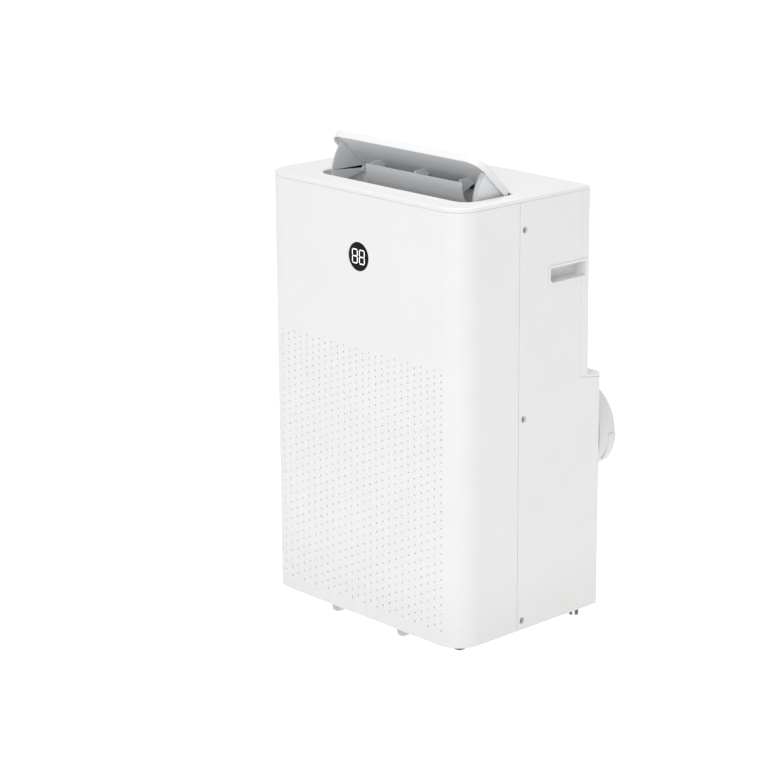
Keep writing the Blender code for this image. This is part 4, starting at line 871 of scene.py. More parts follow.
@dataclass
class FrontShell:
    """The one-piece front: a face and two rounded sides, with rows of dimples and the display's hole."""

    half_width: float = 235.0
    radius: float = 45.0
    seam: float = 136.7
    low: float = 24.0
    high: float = 754.6
    wall: float = 2.8
    edge: float = 0.4
    columns: int = 26
    column_pitch: float = 15.54
    rows: int = 33
    top_dimple: float = 492.5
    pitch_top: float = 10.7
    pitch_growth: float = 4.3
    dimple_radius: float = 1.65
    dimple_depth: float = 2.3
    dimple_sides: int = 12
    display_radius: float = 24.2
    display_height: float = 650.0

    def row_height(self, row: float) -> float:
        """The height of a row of dimples; the rows stand further apart lower down.

        Args:
            row: the row's number from the top, with halves between rows.

        Returns:
            The height over the floor.
        """
        share = row / (self.rows - 1)
        fall = self.pitch_top * share + self.pitch_growth * (share**2 - share**3 / 3)
        return self.top_dimple - fall * (self.rows - 1)

    def spot(self, along: float, height: float, inset: float) -> Vector:
        """A point of the shell: how far along the outline it is, how high and how deep below the skin.

        Args:
            along: the distance along the outline from the middle of the front.
            height: the height over the floor.
            inset: the depth below the skin.

        Returns:
            The point.
        """
        flat = self.half_width - self.radius
        side = math.copysign(1.0, along)
        reach = abs(along)
        turn = min(max((reach - flat) / self.radius, 0.0), math.pi / 2)
        straight = max(reach - flat - self.radius * math.pi / 2, 0.0)
        x = min(reach, flat) + (self.radius - inset) * math.sin(turn)
        y = self.radius - (self.radius - inset) * math.cos(turn) + straight
        return Vector((side * x, y, height))

    def lines_along(self) -> list[Point2]:
        """The skin's upright grid lines: (distance along the outline, inset where the edge is rounded).

        Returns:
            The lines from left to right.
        """
        flat = self.half_width - self.radius
        end = flat + self.radius * math.pi / 2 + self.seam - self.radius
        panel = self.columns * self.column_pitch / 2
        turn_end = flat + self.radius * math.pi / 2
        half = [(panel - self.column_pitch * i, 0.0) for i in range(self.columns // 2)][::-1]
        half += [(panel + (turn_end - panel) * i / 10, 0.0) for i in range(1, 11)]
        half += [(turn_end + 40.0, 0.0), (end - self.edge, 0.0)]
        for degrees in (30, 60, 90):
            bend = math.radians(degrees)
            half.append((end - self.edge * (1 - math.sin(bend)), self.edge * (1 - math.cos(bend))))
        return [(-a, inset) for a, inset in reversed(half)] + [(0.0, 0.0)] + half

    def lines_up(self) -> list[Point2]:
        """The skin's level grid lines: (height, inset where the edge is rounded).

        Returns:
            The lines from the lowest up.
        """
        edge = self.edge
        bends = [math.radians(degrees) for degrees in (90, 60, 30)]
        lines = [(self.low + edge * (1 - math.sin(b)), edge * (1 - math.cos(b))) for b in bends]
        lines += [(self.low + edge, 0.0)]
        lines += [(self.row_height(half / 2), 0.0) for half in range(2 * self.rows, -2, -1)]
        size = 2 * self.column_pitch
        display = [self.display_height + size * i / 2 for i in (-2, -1, 0, 1, 2)]
        lines += [((lines[-1][0] + display[0]) / 2, 0.0)] + [(z, 0.0) for z in display]
        lines += [((display[-1] + self.high) / 2, 0.0), (self.high - edge, 0.0)]
        lines += [(self.high - edge * (1 - math.sin(b)), edge * (1 - math.cos(b))) for b in reversed(bends)]
        return lines

    def build(self, bench: Bench) -> Piece:
        """Make the shell as one closed mesh.

        Args:
            bench: the bench that makes the meshes.

        Returns:
            The shell.
        """
        bm = bmesh.new()
        along = self.lines_along()
        up = self.lines_up()
        middle = len(along) // 2
        outer = [[bm.verts.new(self.spot(a, z, min(x + y, self.wall))) for z, y in up] for a, x in along]
        inner = [[bm.verts.new(self.spot(a, z, self.wall)) for z, _ in up] for a, _ in along]
        first_row = 4
        panel = range(middle - self.columns // 2, middle + self.columns // 2)
        base = next(k for k, (z, _) in enumerate(up) if abs(z - self.display_height) < 0.01) - 2
        taken = {(i, k) for i in range(middle - 2, middle + 2) for k in range(base, base + 4)}
        extras: dict[tuple[int, int], Vertex] = {}
        cells = []
        for column in panel:
            start = first_row + 1 - (column - panel.start) % 2
            for k in range(start, first_row + 2 * self.rows, 2):
                cells.append((column, k))
                taken |= {(column, k), (column, k + 1)}

        def centre(column: int, k: int) -> Vertex:
            """The vertex in the middle of a cell's lower border, shared with the cell below.

            Args:
                column: the cell's column.
                k: the level line that the border is on.

            Returns:
                The vertex.
            """
            if (column, k) not in extras:
                a = (along[column][0] + along[column + 1][0]) / 2
                extras[column, k] = bm.verts.new(self.spot(a, up[k][0], 0.0))
            return extras[column, k]

        for column, k in cells:
            self.add_dimple(bm, outer, along, up, column, k, centre)
        for i in range(len(along) - 1):
            for k in range(len(up) - 1):
                ring = [outer[i][k], outer[i + 1][k], outer[i + 1][k + 1], outer[i][k + 1]]
                if (i, k) not in taken:
                    if (i, k + 1) in extras:
                        ring.insert(3, extras[i, k + 1])
                    if (i, k) in extras:
                        ring.insert(1, extras[i, k])
                    bm.faces.new(ring)
                block = middle - 2 <= i < middle + 2 and base <= k < base + 4
                if not block:
                    bm.faces.new([inner[i][k + 1], inner[i + 1][k + 1], inner[i + 1][k], inner[i][k]])
        last = len(along) - 1
        top = len(up) - 1
        for i in range(last):
            bm.faces.new([outer[i][0], inner[i][0], inner[i + 1][0], outer[i + 1][0]])
            bm.faces.new([outer[i][top], outer[i + 1][top], inner[i + 1][top], inner[i][top]])
        for k in range(top):
            bm.faces.new([outer[0][k], outer[0][k + 1], inner[0][k + 1], inner[0][k]])
            bm.faces.new([outer[last][k], inner[last][k], inner[last][k + 1], outer[last][k + 1]])
        self.add_display_hole(bm, outer, inner, middle, base)
        return bench.add("front_shell_skin", bm)

    def add_dimple(
        self,
        bm: Mesh,
        outer: Grid,
        along: list[Point2],
        up: list[Point2],
        column: int,
        k: int,
        centre: Callable[[int, int], Vertex],
    ) -> None:
        """Fill one cell of the grid with a dimple that has a softened rim and a flat floor.

        Args:
            bm: the mesh that is being made.
            outer: the skin's grid of vertices.
            along: the upright grid lines.
            up: the level grid lines.
            column: the column's number.
            k: the number of the level line.
            centre: gives the vertex in the middle of a cell's border.
        """
        sides = self.dimple_sides
        quarter = sides // 4
        a = (along[column][0] + along[column + 1][0]) / 2
        z = up[k + 1][0]
        rings = []
        for radius, depth in ((1.08, 0.0), (1.0, 0.12), (0.94, self.dimple_depth)):
            ring = circle(radius * self.dimple_radius, sides)
            rings.append([bm.verts.new(self.spot(a + across, z + rise, depth)) for across, rise in ring])
        rim = rings[0]
        right = [outer[column + 1][k], outer[column + 1][k + 1], outer[column + 1][k + 2]]
        left = [outer[column][k], outer[column][k + 1], outer[column][k + 2]]
        above, below = centre(column, k + 2), centre(column, k)
        corners = (
            (right[1], right[2], above),
            (above, left[2], left[1]),
            (left[1], left[0], below),
            (below, right[0], right[1]),
        )
        for q, (start, corner, end) in enumerate(corners):
            edge = [rim[(q * quarter + i) % sides] for i in range(quarter + 1)]
            bm.faces.new([start, corner, end, *reversed(edge)])
        bridge(bm, rings)
        bm.faces.new(rings[-1])

    def add_display_hole(self, bm: Mesh, outer: Grid, inner: Grid, middle: int, base: int) -> None:
        """Fill the four by four block of cells round the display with a chamfered round hole.

        Args:
            bm: the mesh that is being made.
            outer: the skin's grid of vertices.
            inner: the inside's grid of vertices.
            middle: the number of the middle upright line.
            base: the number of the lowest level line of the block.
        """
        sides = 64
        quarter = sides // 4
        rings = []
        for growth, depth in ((0.7, 0.0), (0.2, 0.2), (0.0, 0.7), (0.0, self.wall)):
            ring = circle(self.display_radius + growth, sides)
            points = (self.spot(across, self.display_height + rise, depth) for across, rise in ring)
            rings.append([bm.verts.new(point) for point in points])
        for grid, rim in ((outer, rings[0]), (inner, rings[-1])):
            walk = [(2, 0), (2, 1), (2, 2), (1, 2), (0, 2), (-1, 2), (-2, 2), (-2, 1), (-2, 0)]
            walk += [(-2, -1), (-2, -2), (-1, -2), (0, -2), (1, -2), (2, -2), (2, -1), (2, 0)]
            for q in range(4):
                border = [grid[middle + i][base + 2 + k] for i, k in walk[4 * q : 4 * q + 5]]
                edge = [rim[(q * quarter + i) % sides] for i in range(quarter + 1)]
                bm.faces.new([*border, *reversed(edge)])
        bridge(bm, rings)


@dataclass
class Display:
    """The round lens with its two seven-segment digits."""

    radius: float = 23.9
    height: float = 650.0
    digit_height: float = 24.6
    digit_width: float = 13.4
    spacing: float = 17.0
    stroke: float = 1.6
    gap: float = 0.6

    def segment(self, bench: Bench, start: Point2, end: Point2) -> Piece:
        """One bar with pointed ends, standing a hair proud of the lens.

        Args:
            bench: the bench that makes the meshes.
            start: one end.
            end: the other end.

        Returns:
            The bar.
        """
        way = (Vector(end) - Vector(start)).normalized()
        side = Vector((-way.y, way.x)) * self.stroke / 2
        near = Vector(start) + way * self.gap
        far = Vector(end) - way * self.gap
        tip = way * self.stroke / 2
        points = [near, near + tip + side, far - tip + side, far, far - tip - side, near + tip - side]
        return bench.plate("segment", [(p.x, p.y) for p in points], Axis.Y, -0.06, 0.4)

    def build(self, bench: Bench, dresser: Dresser) -> None:
        """Make the lens and both digits.

        Args:
            bench: the bench that makes the meshes.
            dresser: what gives each piece its finish and body.
        """
        r = self.radius
        profile = [(0, 3.4), (r, 3.4), (r, 0.75), (r - 0.15, 0.4), (r - 0.5, 0.16), (r - 1.1, 0.04), (0, 0)]
        lens = bench.turned("display_lens_skin", profile, (0, 0, self.height), Axis.Y, 96)
        dresser.dress(lens, "acrylic", crease=50)
        half = self.digit_width / 2 - self.stroke / 2
        tall = self.digit_height / 2 - self.stroke / 2
        for label, side in (("tens", -1), ("units", 1)):
            x = side * self.spacing / 2
            z = self.height
            corners = {(a, b): (x + a * half, z + b * tall) for a in (-1, 1) for b in (-1, 0, 1)}
            pairs = [((-1, b), (1, b)) for b in (-1, 0, 1)]
            pairs += [((a, b), (a, b + 1)) for a in (-1, 1) for b in (-1, 0)]
            parts = [self.segment(bench, corners[start], corners[end]) for start, end in pairs]
            dresser.dress(merged(f"digit_{label}", parts), "light")


# ---------------------------------------------------------------- the cabinet's other walls


@dataclass
class Walls:
    """The body shell, the rear cover and the top cover."""

    half_width: float = 235.0
    edge: float = 0.3
    front_seam: float = 137.4
    rear_seam: float = 283.0
    upper_rear: float = 301.5
    lower_rear: float = 336.0
    low: float = 24.0
    top: float = 762.0
    rim: float = 7.0
    shoulder: float = 437.0
    shoulder_fall: float = 9.0
    wall: float = 2.8
    front_radius: float = 45.0
    lower_radius: float = 8.0
    upper_radius: float = 3.0
    screw_y: float = 149.0
    screw_heights: tuple[float, ...] = (40.5, 392.0, 709.0)
    opening: tuple[float, float, float, float] = (-157.0, 203.0, 47.0, 158.0)

    def plan(self, inset: float) -> list[Point2]:
        """The top's outline from above, drawn in by inset.

        Args:
            inset: how far the outline is drawn in.

        Returns:
            The outline's points in order.
        """
        front = self.front_radius - inset
        behind = max(self.upper_radius - inset, 0)
        x = self.half_width - inset
        return rectangle(-x, x, inset, self.upper_rear - inset, (front, front, behind, behind), 12)

    def handle_outline(self, growth: float) -> list[Point2]:
        """A carrying recess seen from the side; its low front corner is cut off.

        Args:
            growth: how much larger it is all round.

        Returns:
            The outline's points in order.
        """
        front, rear = 208.5 - growth, 293.0 + growth
        low, high = 610.5 - growth, 635.5 + growth
        slant = 5.0 + growth * (2 - math.sqrt(2))
        corners = [(front, high), (front, low + slant), (front + slant, low), (rear, low), (rear, high)]
        return rounded(corners, (2.5, 3.0, 3.0, 2.5, 2.5), 5)

    def handle_holes(self, bench: Bench) -> list[Piece]:
        """Cutters for both carrying recesses.

        Args:
            bench: the bench that makes the meshes.

        Returns:
            The cutters.
        """
        near, far = self.half_width - 26.2, self.half_width + 9
        outline = self.handle_outline(2.2)
        return [bench.plate("hole", outline, Axis.X, *span) for span in ((near, far), (-far, -near))]

    def build_body(self, bench: Bench) -> Piece:
        """The sides and the lower housing in one piece.

        Args:
            bench: the bench that makes the meshes.

        Returns:
            The body shell.
        """
        top = self.top - self.rim - 0.4
        profile = [
            (self.front_seam, self.low),
            (self.lower_rear, self.low),
            (self.lower_rear, self.shoulder - self.shoulder_fall),
            (self.rear_seam, self.shoulder),
            (self.rear_seam, top),
            (self.front_seam, top),
        ]
        shell = bench.plate("body_shell_skin", profile, Axis.X, -self.half_width, self.half_width)
        rear = self.lower_rear
        bench.round_edges(shell, self.lower_radius, 12, lambda m, w: abs(w.z) > 0.99 and m.y > rear - 1)
        inner = self.half_width - self.wall
        back = self.rear_seam - self.wall
        fall = self.shoulder - self.wall
        inside = [(self.front_seam - 50, self.low - 50), (rear - self.wall, self.low - 50)]
        inside += [(rear - self.wall, fall - self.shoulder_fall), (back, fall)]
        inside += [(back, top + 50), (self.front_seam - 50, top + 50)]
        hollow = bench.plate("hollow", inside, Axis.X, -inner, inner)
        behind = rear - self.wall - 1
        bench.round_edges(
            hollow, self.lower_radius - self.wall, 12, lambda m, w: abs(w.z) > 0.99 and m.y > behind
        )
        sill = self.shoulder + 15
        window = bench.box("window", (-205, back - 9, sill), (205, self.rear_seam + 9, top + 50))
        room = bench.box("room", (-inner, back - 9, top - 8.4), (inner, self.rear_seam + 9, top + 50))
        cut(shell, hollow, window, room)
        holes = [
            bench.bar("hole", (side.value * self.half_width - 15, self.screw_y, z), Axis.X, 5.75, 30)
            for side in Side
            for z in self.screw_heights
        ]
        x, z, radius = CONNECTOR
        duct = bench.bar("duct", (x, rear - 30, z), Axis.Y, radius - 2.6, 60, 96)
        grille = bench.box("grille", (-190.4, rear - 30, 109.6), (40.4, rear + 30, 390.4))
        small = [
            bench.bar("hole", (x, rear - 20, z), Axis.Y, radius + 0.4, 40, 32)
            for x, z, radius in (GLAND, *PLUGS.values())
        ]
        cut(shell, merged("holes", holes), duct, grille, merged("small", small), *self.handle_holes(bench))
        return soften(shell, self.edge, 2)

    def build_rear(self, bench: Bench) -> Piece:
        """The upper rear cover round the intake grille, with a foot over the lower housing's shoulder.

        Args:
            bench: the bench that makes the meshes.

        Returns:
            The rear cover.
        """
        front = self.rear_seam + 0.4
        top = self.top - self.rim - 0.4
        foot = self.shoulder + 0.4
        rear, end = self.upper_rear, self.lower_rear
        profile = [(front, foot), (end, foot - self.shoulder_fall), (end, foot)]
        profile += [(rear, foot), (rear, top), (front, top)]
        cover = bench.plate("rear_cover_skin", profile, Axis.X, -self.half_width, self.half_width)
        bench.round_edges(
            cover, self.upper_radius, 6, lambda m, w: abs(w.z) > 0.99 and m.z > foot + 50 and m.y > rear - 1
        )
        bench.round_edges(cover, self.lower_radius, 12, lambda m, w: abs(w.z) > 0.99 and m.y > end - 1)
        bench.round_edges(
            cover, 2.0, 4, lambda m, w: abs(w.z) < 0.1 and foot - 0.1 < m.z < foot + 1 and m.y > rear + 20
        )
        inner = self.half_width - self.wall
        base = (-inner, front - 9, self.shoulder - 50)
        hollow = bench.box("hollow", base, (inner, rear - self.wall, self.top + 9))
        window = bench.box("window", (-186.2, front, 478.8), (186.2, rear + 9, 731.2))
        cut(cover, hollow, window, *self.handle_holes(bench))
        return soften(cover, self.edge, 2)

    def build_top(self, bench: Bench) -> Piece:
        """The lid: a rounded rim, a flat top, the flap's opening and a skirt inside the walls.

        Args:
            bench: the bench that makes the meshes.

        Returns:
            The lid.
        """
        low = self.top - self.rim
        cover = bench.plate("top_cover_skin", self.plan(0), Axis.Z, low, self.top)
        bench.round_edges(cover, 4.0, 7, lambda m, w: m.z > self.top - 0.1 and abs(w.z) < 0.1)
        cut(cover, bench.plate("hollow", self.plan(self.wall), Axis.Z, low - 9, self.top - 3))
        inset = self.wall + 0.4
        skirt = bench.plate("skirt", self.plan(inset), Axis.Z, low - 8, self.top - 2)
        cut(skirt, bench.plate("within", self.plan(inset + 2), Axis.Z, low - 17, self.top + 9))
        join(cover, skirt)
        left, right, front, back = self.opening
        outline = rectangle(left, right, front, back, (30, 30, 5, 5), 12)
        cut(cover, bench.plate("opening", outline, Axis.Z, low - 50, self.top + 50))
        return soften(cover, 0.5, 2)

    def build(self, bench: Bench, dresser: Dresser) -> None:
        """Make and dress all three."""
        for piece in (self.build_body(bench), self.build_rear(bench), self.build_top(bench)):
            dresser.dress(piece, "case")


@dataclass
class Handles:
    """The carrying recesses: a finger cup in each side with a thin bezel round its mouth."""

    walls: Walls
    depth: float = 24.0
    cup_wall: float = 1.8
    bezel: float = 4.2
    gap: float = 0.3

    def slab(self, bench: Bench, side: Side, growth: float, near: float, far: float) -> Piece:
        """The recess's outline, extruded between two distances from the middle plane."""
        low, high = sorted((side.value * near, side.value * far))
        return bench.plate("slab", self.walls.handle_outline(growth), Axis.X, low, high)

    def build(self, bench: Bench, dresser: Dresser) -> None:
        """Make both.

        Args:
            bench: the bench that makes the meshes.
            dresser: what gives each piece its finish and body.
        """
        half = self.walls.half_width
        face = half + self.gap
        bottom = half - self.depth - self.cup_wall
        for side in Side:
            cup = self.slab(bench, side, self.cup_wall, bottom, face + 0.8)
            join(cup, self.slab(bench, side, self.bezel, face, face + 1.0))
            cut(cup, self.slab(bench, side, 0, bottom + self.cup_wall, face + 10))
            cup.name = f"handle_{side.name.lower()}_skin"
            soften(cup, 0.45, 2, 40)
            dresser.dress(cup, "case")


@dataclass
class Screws:
    """The three recessed screws of each side and the tongue behind the seam that they hold."""

    walls: Walls
    head_radius: float = 4.4
    head: float = 2.4
    tongue: float = 2.6

    @property
    def seat(self) -> float:
        """How far from the middle plane the heads rest."""
        return self.walls.half_width - self.walls.wall - 0.4 - self.tongue

    def tongues(self, bench: Bench) -> list[Piece]:
        """The strips behind the seams, each with counterbored bosses for its screws.

        Args:
            bench: the bench that makes the meshes.

        Returns:
            The strips.
        """
        made = []
        for side in Side:
            near, far = sorted((side.value * self.seat, side.value * (self.seat + self.tongue)))
            y = self.walls.screw_y
            strip = bench.box("tongue", (near, y - 32, 30), (far, y + 11, 748))
            reach = side.value * (self.seat - 10)
            for z in self.walls.screw_heights:
                start = min(reach, side.value * (self.seat + 1))
                join(strip, bench.bar("boss", (start, y, z), Axis.X, 7.5, 11, 32))
                rest = side.value * (self.seat - 0.3)
                base = rest if side is Side.RIGHT else rest - 9
                cut(strip, bench.bar("seat", (base, y, z), Axis.X, self.head_radius + 0.4, 9, 32))
            made.append(soften(strip, 0.3, 1))
        return made

    def build(self, bench: Bench, dresser: Dresser) -> None:
        """Make all six screws.

        Args:
            bench: the bench that makes the meshes.
            dresser: what gives each piece its finish and body.
        """
        r = self.head_radius
        y = self.walls.screw_y
        profile = [(0, 0), (r, 0), (r, 1.3), (r - 0.35, 1.75), (r - 1.1, 2.15)]
        profile += [(r - 2.2, self.head), (0, self.head)]
        for side in Side:
            sign = side.value
            for number, z in enumerate(self.walls.screw_heights, 1):
                flat = [(radius, sign * height) for radius, height in profile]
                screw = bench.turned("screw", flat, (sign * self.seat, y, z), Axis.X, 40)
                start = self.seat - 7 if sign > 0 else -self.seat - 1
                join(screw, bench.bar("shank", (start, y, z), Axis.X, 2.0, 8, 16))
                slots = []
                for across, up in ((2.6, 0.55), (0.55, 2.6)):
                    near, far = sorted((sign * (self.seat + 1.1), sign * (self.seat + 5)))
                    slots.append(bench.box("slot", (near, y - across, z - up), (far, y + across, z + up)))
                cut(screw, *slots)
                soften(screw, 0.15, 2, 40)
                screw.name = f"side_screw_{side.name.lower()}_{number}_skin"
                dresser.dress(screw, "zinc")


# ---------------------------------------------------------------- the flap


@dataclass
class Flap:
    """The air flap with its two wings, inner blade and hinge pins, drawn closed about its hinge."""

    left: float = -155.8
    right: float = 201.8
    front: float = -101.8
    top: float = 6.5
    thickness: float = 2.4
    lip: float = 13.0
    lip_wall: float = 2.0
    corner: float = 28.8
    heel: float = 3.8
    teeth: int = 144
    hinge: Point3 = (0.0, 150.0, 755.0)
    rest_degrees: float = 45.0

    @property
    def under(self) -> float:
        """The height of the plate's underside over the hinge."""
        return self.top - self.thickness

    @staticmethod
    def spoke(radius: float, degrees: float) -> Point2:
        """A point of the side view, at an angle below the flap's forward direction."""
        turn = math.radians(degrees)
        return (-radius * math.cos(turn), -radius * math.sin(turn))

    def cover(self, bench: Bench) -> Piece:
        """The plate with the lip round its front and sides.

        Args:
            bench: the bench that makes the meshes.

        Returns:
            The plate.
        """
        radius = self.corner
        corners = (radius, radius, 5.5, 5.5)
        outline = rectangle(self.left, self.right, self.front, self.heel, corners, 14)
        low = self.top - self.lip
        plate = bench.plate("flap_plate_skin", outline, Axis.Z, low, self.top)
        bench.round_edges(plate, 1.2, 4, lambda m, w: m.z > self.top - 0.1 and abs(w.z) < 0.1)
        wall = self.lip_wall
        inner = (radius - wall, radius - wall, 0, 0)
        inside = rectangle(self.left + wall, self.right - wall, self.front + wall, -12.0, inner, 14)
        hollow = bench.plate("hollow", inside, Axis.Z, low - 9, self.under)
        below = (self.left - 9, -12.01, low - 9)
        heel = bench.box("heel", below, (self.right + 9, self.heel + 9, self.under))
        cut(plate, hollow, heel)
        return soften(plate, 0.35, 2, 40)

    def sector(self, bench: Bench) -> Piece:
        """The toothed wing: rim, web, hub and stiffening ribs.

        Args:
            bench: the bench that makes the meshes.

        Returns:
            The toothed wing.
        """
        outside = self.right - 5.0
        pitch = self.teeth / 2
        step = 360.0 / self.teeth
        start = math.degrees(math.asin(2.0 / pitch)) + step
        count = int(92.0 / step)
        thin = math.degrees(0.35 / 2 / pitch)
        rim = []
        for i in range(count):
            middle = start + i * step
            rim.append(self.spoke(pitch - 1.15, middle - 0.36 * step + thin))
            rim.append(self.spoke(pitch + 0.9, middle - 0.13 * step + thin))
            rim.append(self.spoke(pitch + 0.9, middle + 0.13 * step - thin))
            rim.append(self.spoke(pitch - 1.15, middle + 0.36 * step - thin))
        end = start + (count - 0.5) * step
        inner = pitch - 4.5
        rim += [self.spoke(inner, end - (end - start) * i / 40) for i in range(41)]
        wing = bench.plate("flap_sector_skin", rim, Axis.X, outside - 11, outside)
        ceiling = self.under - 0.3
        web = [self.spoke(inner + 1, start + (end - start) * i / 40) for i in range(41)]
        web += [(0, -6.5), (6, 0), (6, ceiling), (-inner, ceiling)]
        join(wing, bench.plate("web", web, Axis.X, outside - 3, outside - 0.3))
        hub = bench.bar("hub", (outside - 11, 0, 0), Axis.X, 7.0, 10.9)
        cut(hub, bench.box("trim", (0, -20, ceiling), (400, 20, 20)))
        join(wing, hub)
        ribs = []
        for degrees in (14, 28, 42):
            near, far = Vector(self.spoke(6, degrees)), Vector(self.spoke(34, degrees))
            side = Vector(self.spoke(1.0, degrees + 90))
            outline = [tuple(point) for point in (near + side, far + side, far - side, near - side)]
            ribs.append(bench.plate("rib", outline, Axis.X, outside - 6, outside - 2.5))
        join(wing, *ribs)
        return cut(wing, bench.bar("bore", (outside - 30, 0, 0), Axis.X, 2.3, 60, 32))

    def wing(self, bench: Bench) -> Piece:
        """The plain wing at the left end.

        Args:
            bench: the bench that makes the meshes.

        Returns:
            The plain wing.
        """
        near = self.left + 3.4
        radius = self.teeth / 2
        ceiling = self.under - 0.3
        outline = [self.spoke(radius, 2 + 60 * i / 40) for i in range(41)]
        outline += [(0, -6.5), (6, 0), (6, ceiling), (1 - radius, ceiling)]
        wing = bench.plate("flap_wing_skin", outline, Axis.X, near, near + 2.5)
        hub = bench.bar("hub", (near + 0.1, 0, 0), Axis.X, 6.0, 8.0)
        cut(hub, bench.box("trim", (-400, -20, ceiling), (400, 20, 20)))
        join(wing, hub)
        cut(wing, bench.bar("bore", (near - 20, 0, 0), Axis.X, 2.3, 60, 32))
        return soften(wing, 0.4, 2, 40)

    def blade(self, bench: Bench) -> Piece:
        """The curved inner blade with its three gussets.

        Args:
            bench: the bench that makes the meshes.

        Returns:
            The blade.
        """
        start, end = Vector((-50.0, -18.0)), Vector((-14.0, -36.0))
        across = end - start
        normal = Vector((-across.y, across.x)).normalized()
        shares = [i / 24 for i in range(25)]
        spine = [start + across * s - normal * 20 * s * (1 - s) for s in shares]
        face = [(p.x, p.y) for p in spine]
        back = [(p.x, p.y) for p in (point + normal * 2.0 for point in reversed(spine))]
        middle = (self.left + self.right) / 2
        low, high = middle - 115, middle + 115
        blade = bench.plate("flap_blade_skin", face + back, Axis.X, low, high)
        ceiling = self.under - 0.3
        gusset = [(start.x + 0.5, start.y + 0.3), (start.x + 0.5, start.y + 6), (start.x + 14, ceiling)]
        gusset += [(end.x - 6, ceiling), (start.x + across.x / 2, start.y + across.y / 2 - 2)]
        places = (low + 8, middle, high - 10.4)
        join(blade, *[bench.plate("gusset", gusset, Axis.X, x, x + 2.4) for x in places])
        return soften(blade, 0.4, 2, 40)

    def build(self, dresser: Dresser) -> None:
        """Make and dress every piece of the flap.

        Args:
            dresser: what gives each piece its finish and body.
        """
        bench = Bench.at(self.hinge, -self.rest_degrees, Axis.X)
        dresser.dress(self.cover(bench), "flap", "flap")
        dresser.dress(self.sector(bench), "flap", "flap", crease=24)
        dresser.dress(self.wing(bench), "flap", "flap")
        dresser.dress(self.blade(bench), "flap", "flap")
        profile = [(0, 0), (1.7, 0), (2.0, 0.3), (2.0, 15.7), (1.7, 16), (0, 16)]
        for side, start in ((Side.LEFT, self.left - 5), (Side.RIGHT, self.right - 11)):
            name = f"flap_pin_{side.name.lower()}_skin"
            dresser.dress(bench.turned(name, profile, (start, 0, 0), Axis.X, 32), "zinc", "flap")


# ---------------------------------------------------------------- the rear


@dataclass
class LouvredGrille:
    """A framed grille with columns of tilted louvres and upright bars between them."""

    low: Point2
    high: Point2
    front: float
    rear: float
    pitch: float = 7.6
    bar: float = 8.0
    columns: int = 2
    louvre: float = 5.0
    louvre_thickness: float = 1.5
    tilt_degrees: float = 38.0

    def build(self, bench: Bench, name: str) -> Piece:
        """Make the grille.

        Args:
            bench: the bench that makes the meshes.
            name: the piece's name.

        Returns:
            The grille.
        """
        (x0, z0), (x1, z1) = self.low, self.high
        outline = rectangle(x0, x1, z0, z1, (2, 2, 2, 2), 4)
        frame = bench.plate("frame", outline, Axis.Y, self.front, self.rear)
        width = (x1 - x0 - self.bar * (self.columns + 1)) / self.columns
        windows = []
        louvres = []
        count = int((z1 - z0 - 2 * self.bar) / self.pitch)
        for column in range(self.columns):
            left = x0 + self.bar + column * (width + self.bar)
            outline = rectangle(left, left + width, z0 + self.bar, z1 - self.bar, (3, 3, 3, 3), 5)
            windows.append(bench.plate("window", outline, Axis.Y, self.front - 9, self.rear + 9))
            louvres += [self.blade(bench, left, left + width, row, count) for row in range(count)]
        cut(frame, *windows)
        soften(frame, 0.5, 2)
        return merged(name, [frame, *louvres])

    def blade(self, bench: Bench, left: float, right: float, row: int, count: int) -> Piece:
        """One louvre: a rounded slat that leans down towards the outside.

        Args:
            bench: the bench that makes the meshes.
            left: its left end.
            right: its right end.
            row: the row's number.
            count: how many louvres there are.

        Returns:
            The louvre.
        """
        middle = (self.low[1] + self.high[1]) / 2 + (row - (count - 1) / 2) * self.pitch
        depth = (self.front + self.rear) / 2
        turn = math.radians(-self.tilt_degrees)
        half = min(self.louvre, (self.rear - self.front) / math.cos(turn) - 0.6) / 2
        thick = self.louvre_thickness / 2
        section = rectangle(-half, half, -thick, thick, (thick * 0.9,) * 4, 3)
        outline = []
        for a, b in section:
            y = depth + a * math.cos(turn) - b * math.sin(turn)
            outline.append((y, middle + a * math.sin(turn) + b * math.cos(turn)))
        return bench.plate("louvre", outline, Axis.X, left - 0.5, right + 0.5)


@dataclass
class Filter:
    """The air filter: a frame of thin bars with a woven net across it."""

    half_width: float = 179.0
    low: float = 488.0
    high: float = 722.0
    front: float = 294.3
    rear: float = 297.3
    bar: float = 5.0
    net_pitch: float = 2.6
    thread: float = 0.35

    def build(self, bench: Bench) -> Piece:
        """Make the frame and the net.

        Args:
            bench: the bench that makes the meshes.

        Returns:
            The filter.
        """
        x = self.half_width
        outline = rectangle(-x, x, self.low, self.high, (3, 3, 3, 3), 4)
        frame = bench.plate("frame", outline, Axis.Y, self.front, self.rear)
        wide = (2 * x - self.bar) / 4
        tall = (self.high - self.low - self.bar) / 3
        cells = []
        for column in range(4):
            for row in range(3):
                left = -x + self.bar + column * wide
                low = self.low + self.bar + row * tall
                cell = rectangle(left, left + wide - self.bar, low, low + tall - self.bar, (2, 2, 2, 2), 3)
                cells.append(bench.plate("cell", cell, Axis.Y, self.front - 9, self.rear + 9))
        cut(frame, merged("cells", cells))
        soften(frame, 0.4, 1)
        middle = (self.front + self.rear) / 2
        threads = []
        t = self.thread / 2
        for i in range(1, int(2 * (x - 2) / self.net_pitch)):
            a = -x + 2 + i * self.net_pitch
            base = (a - t, middle - t, self.low + 2)
            threads.append(bench.box("thread", base, (a + t, middle + t, self.high - 2)))
        for i in range(1, int((self.high - self.low - 4) / self.net_pitch)):
            b = self.low + 2 + i * self.net_pitch
            threads.append(bench.box("thread", (2 - x, middle, b - t), (x - 2, middle + 2 * t, b + t)))
        return merged("air_filter_skin", [frame, *threads])


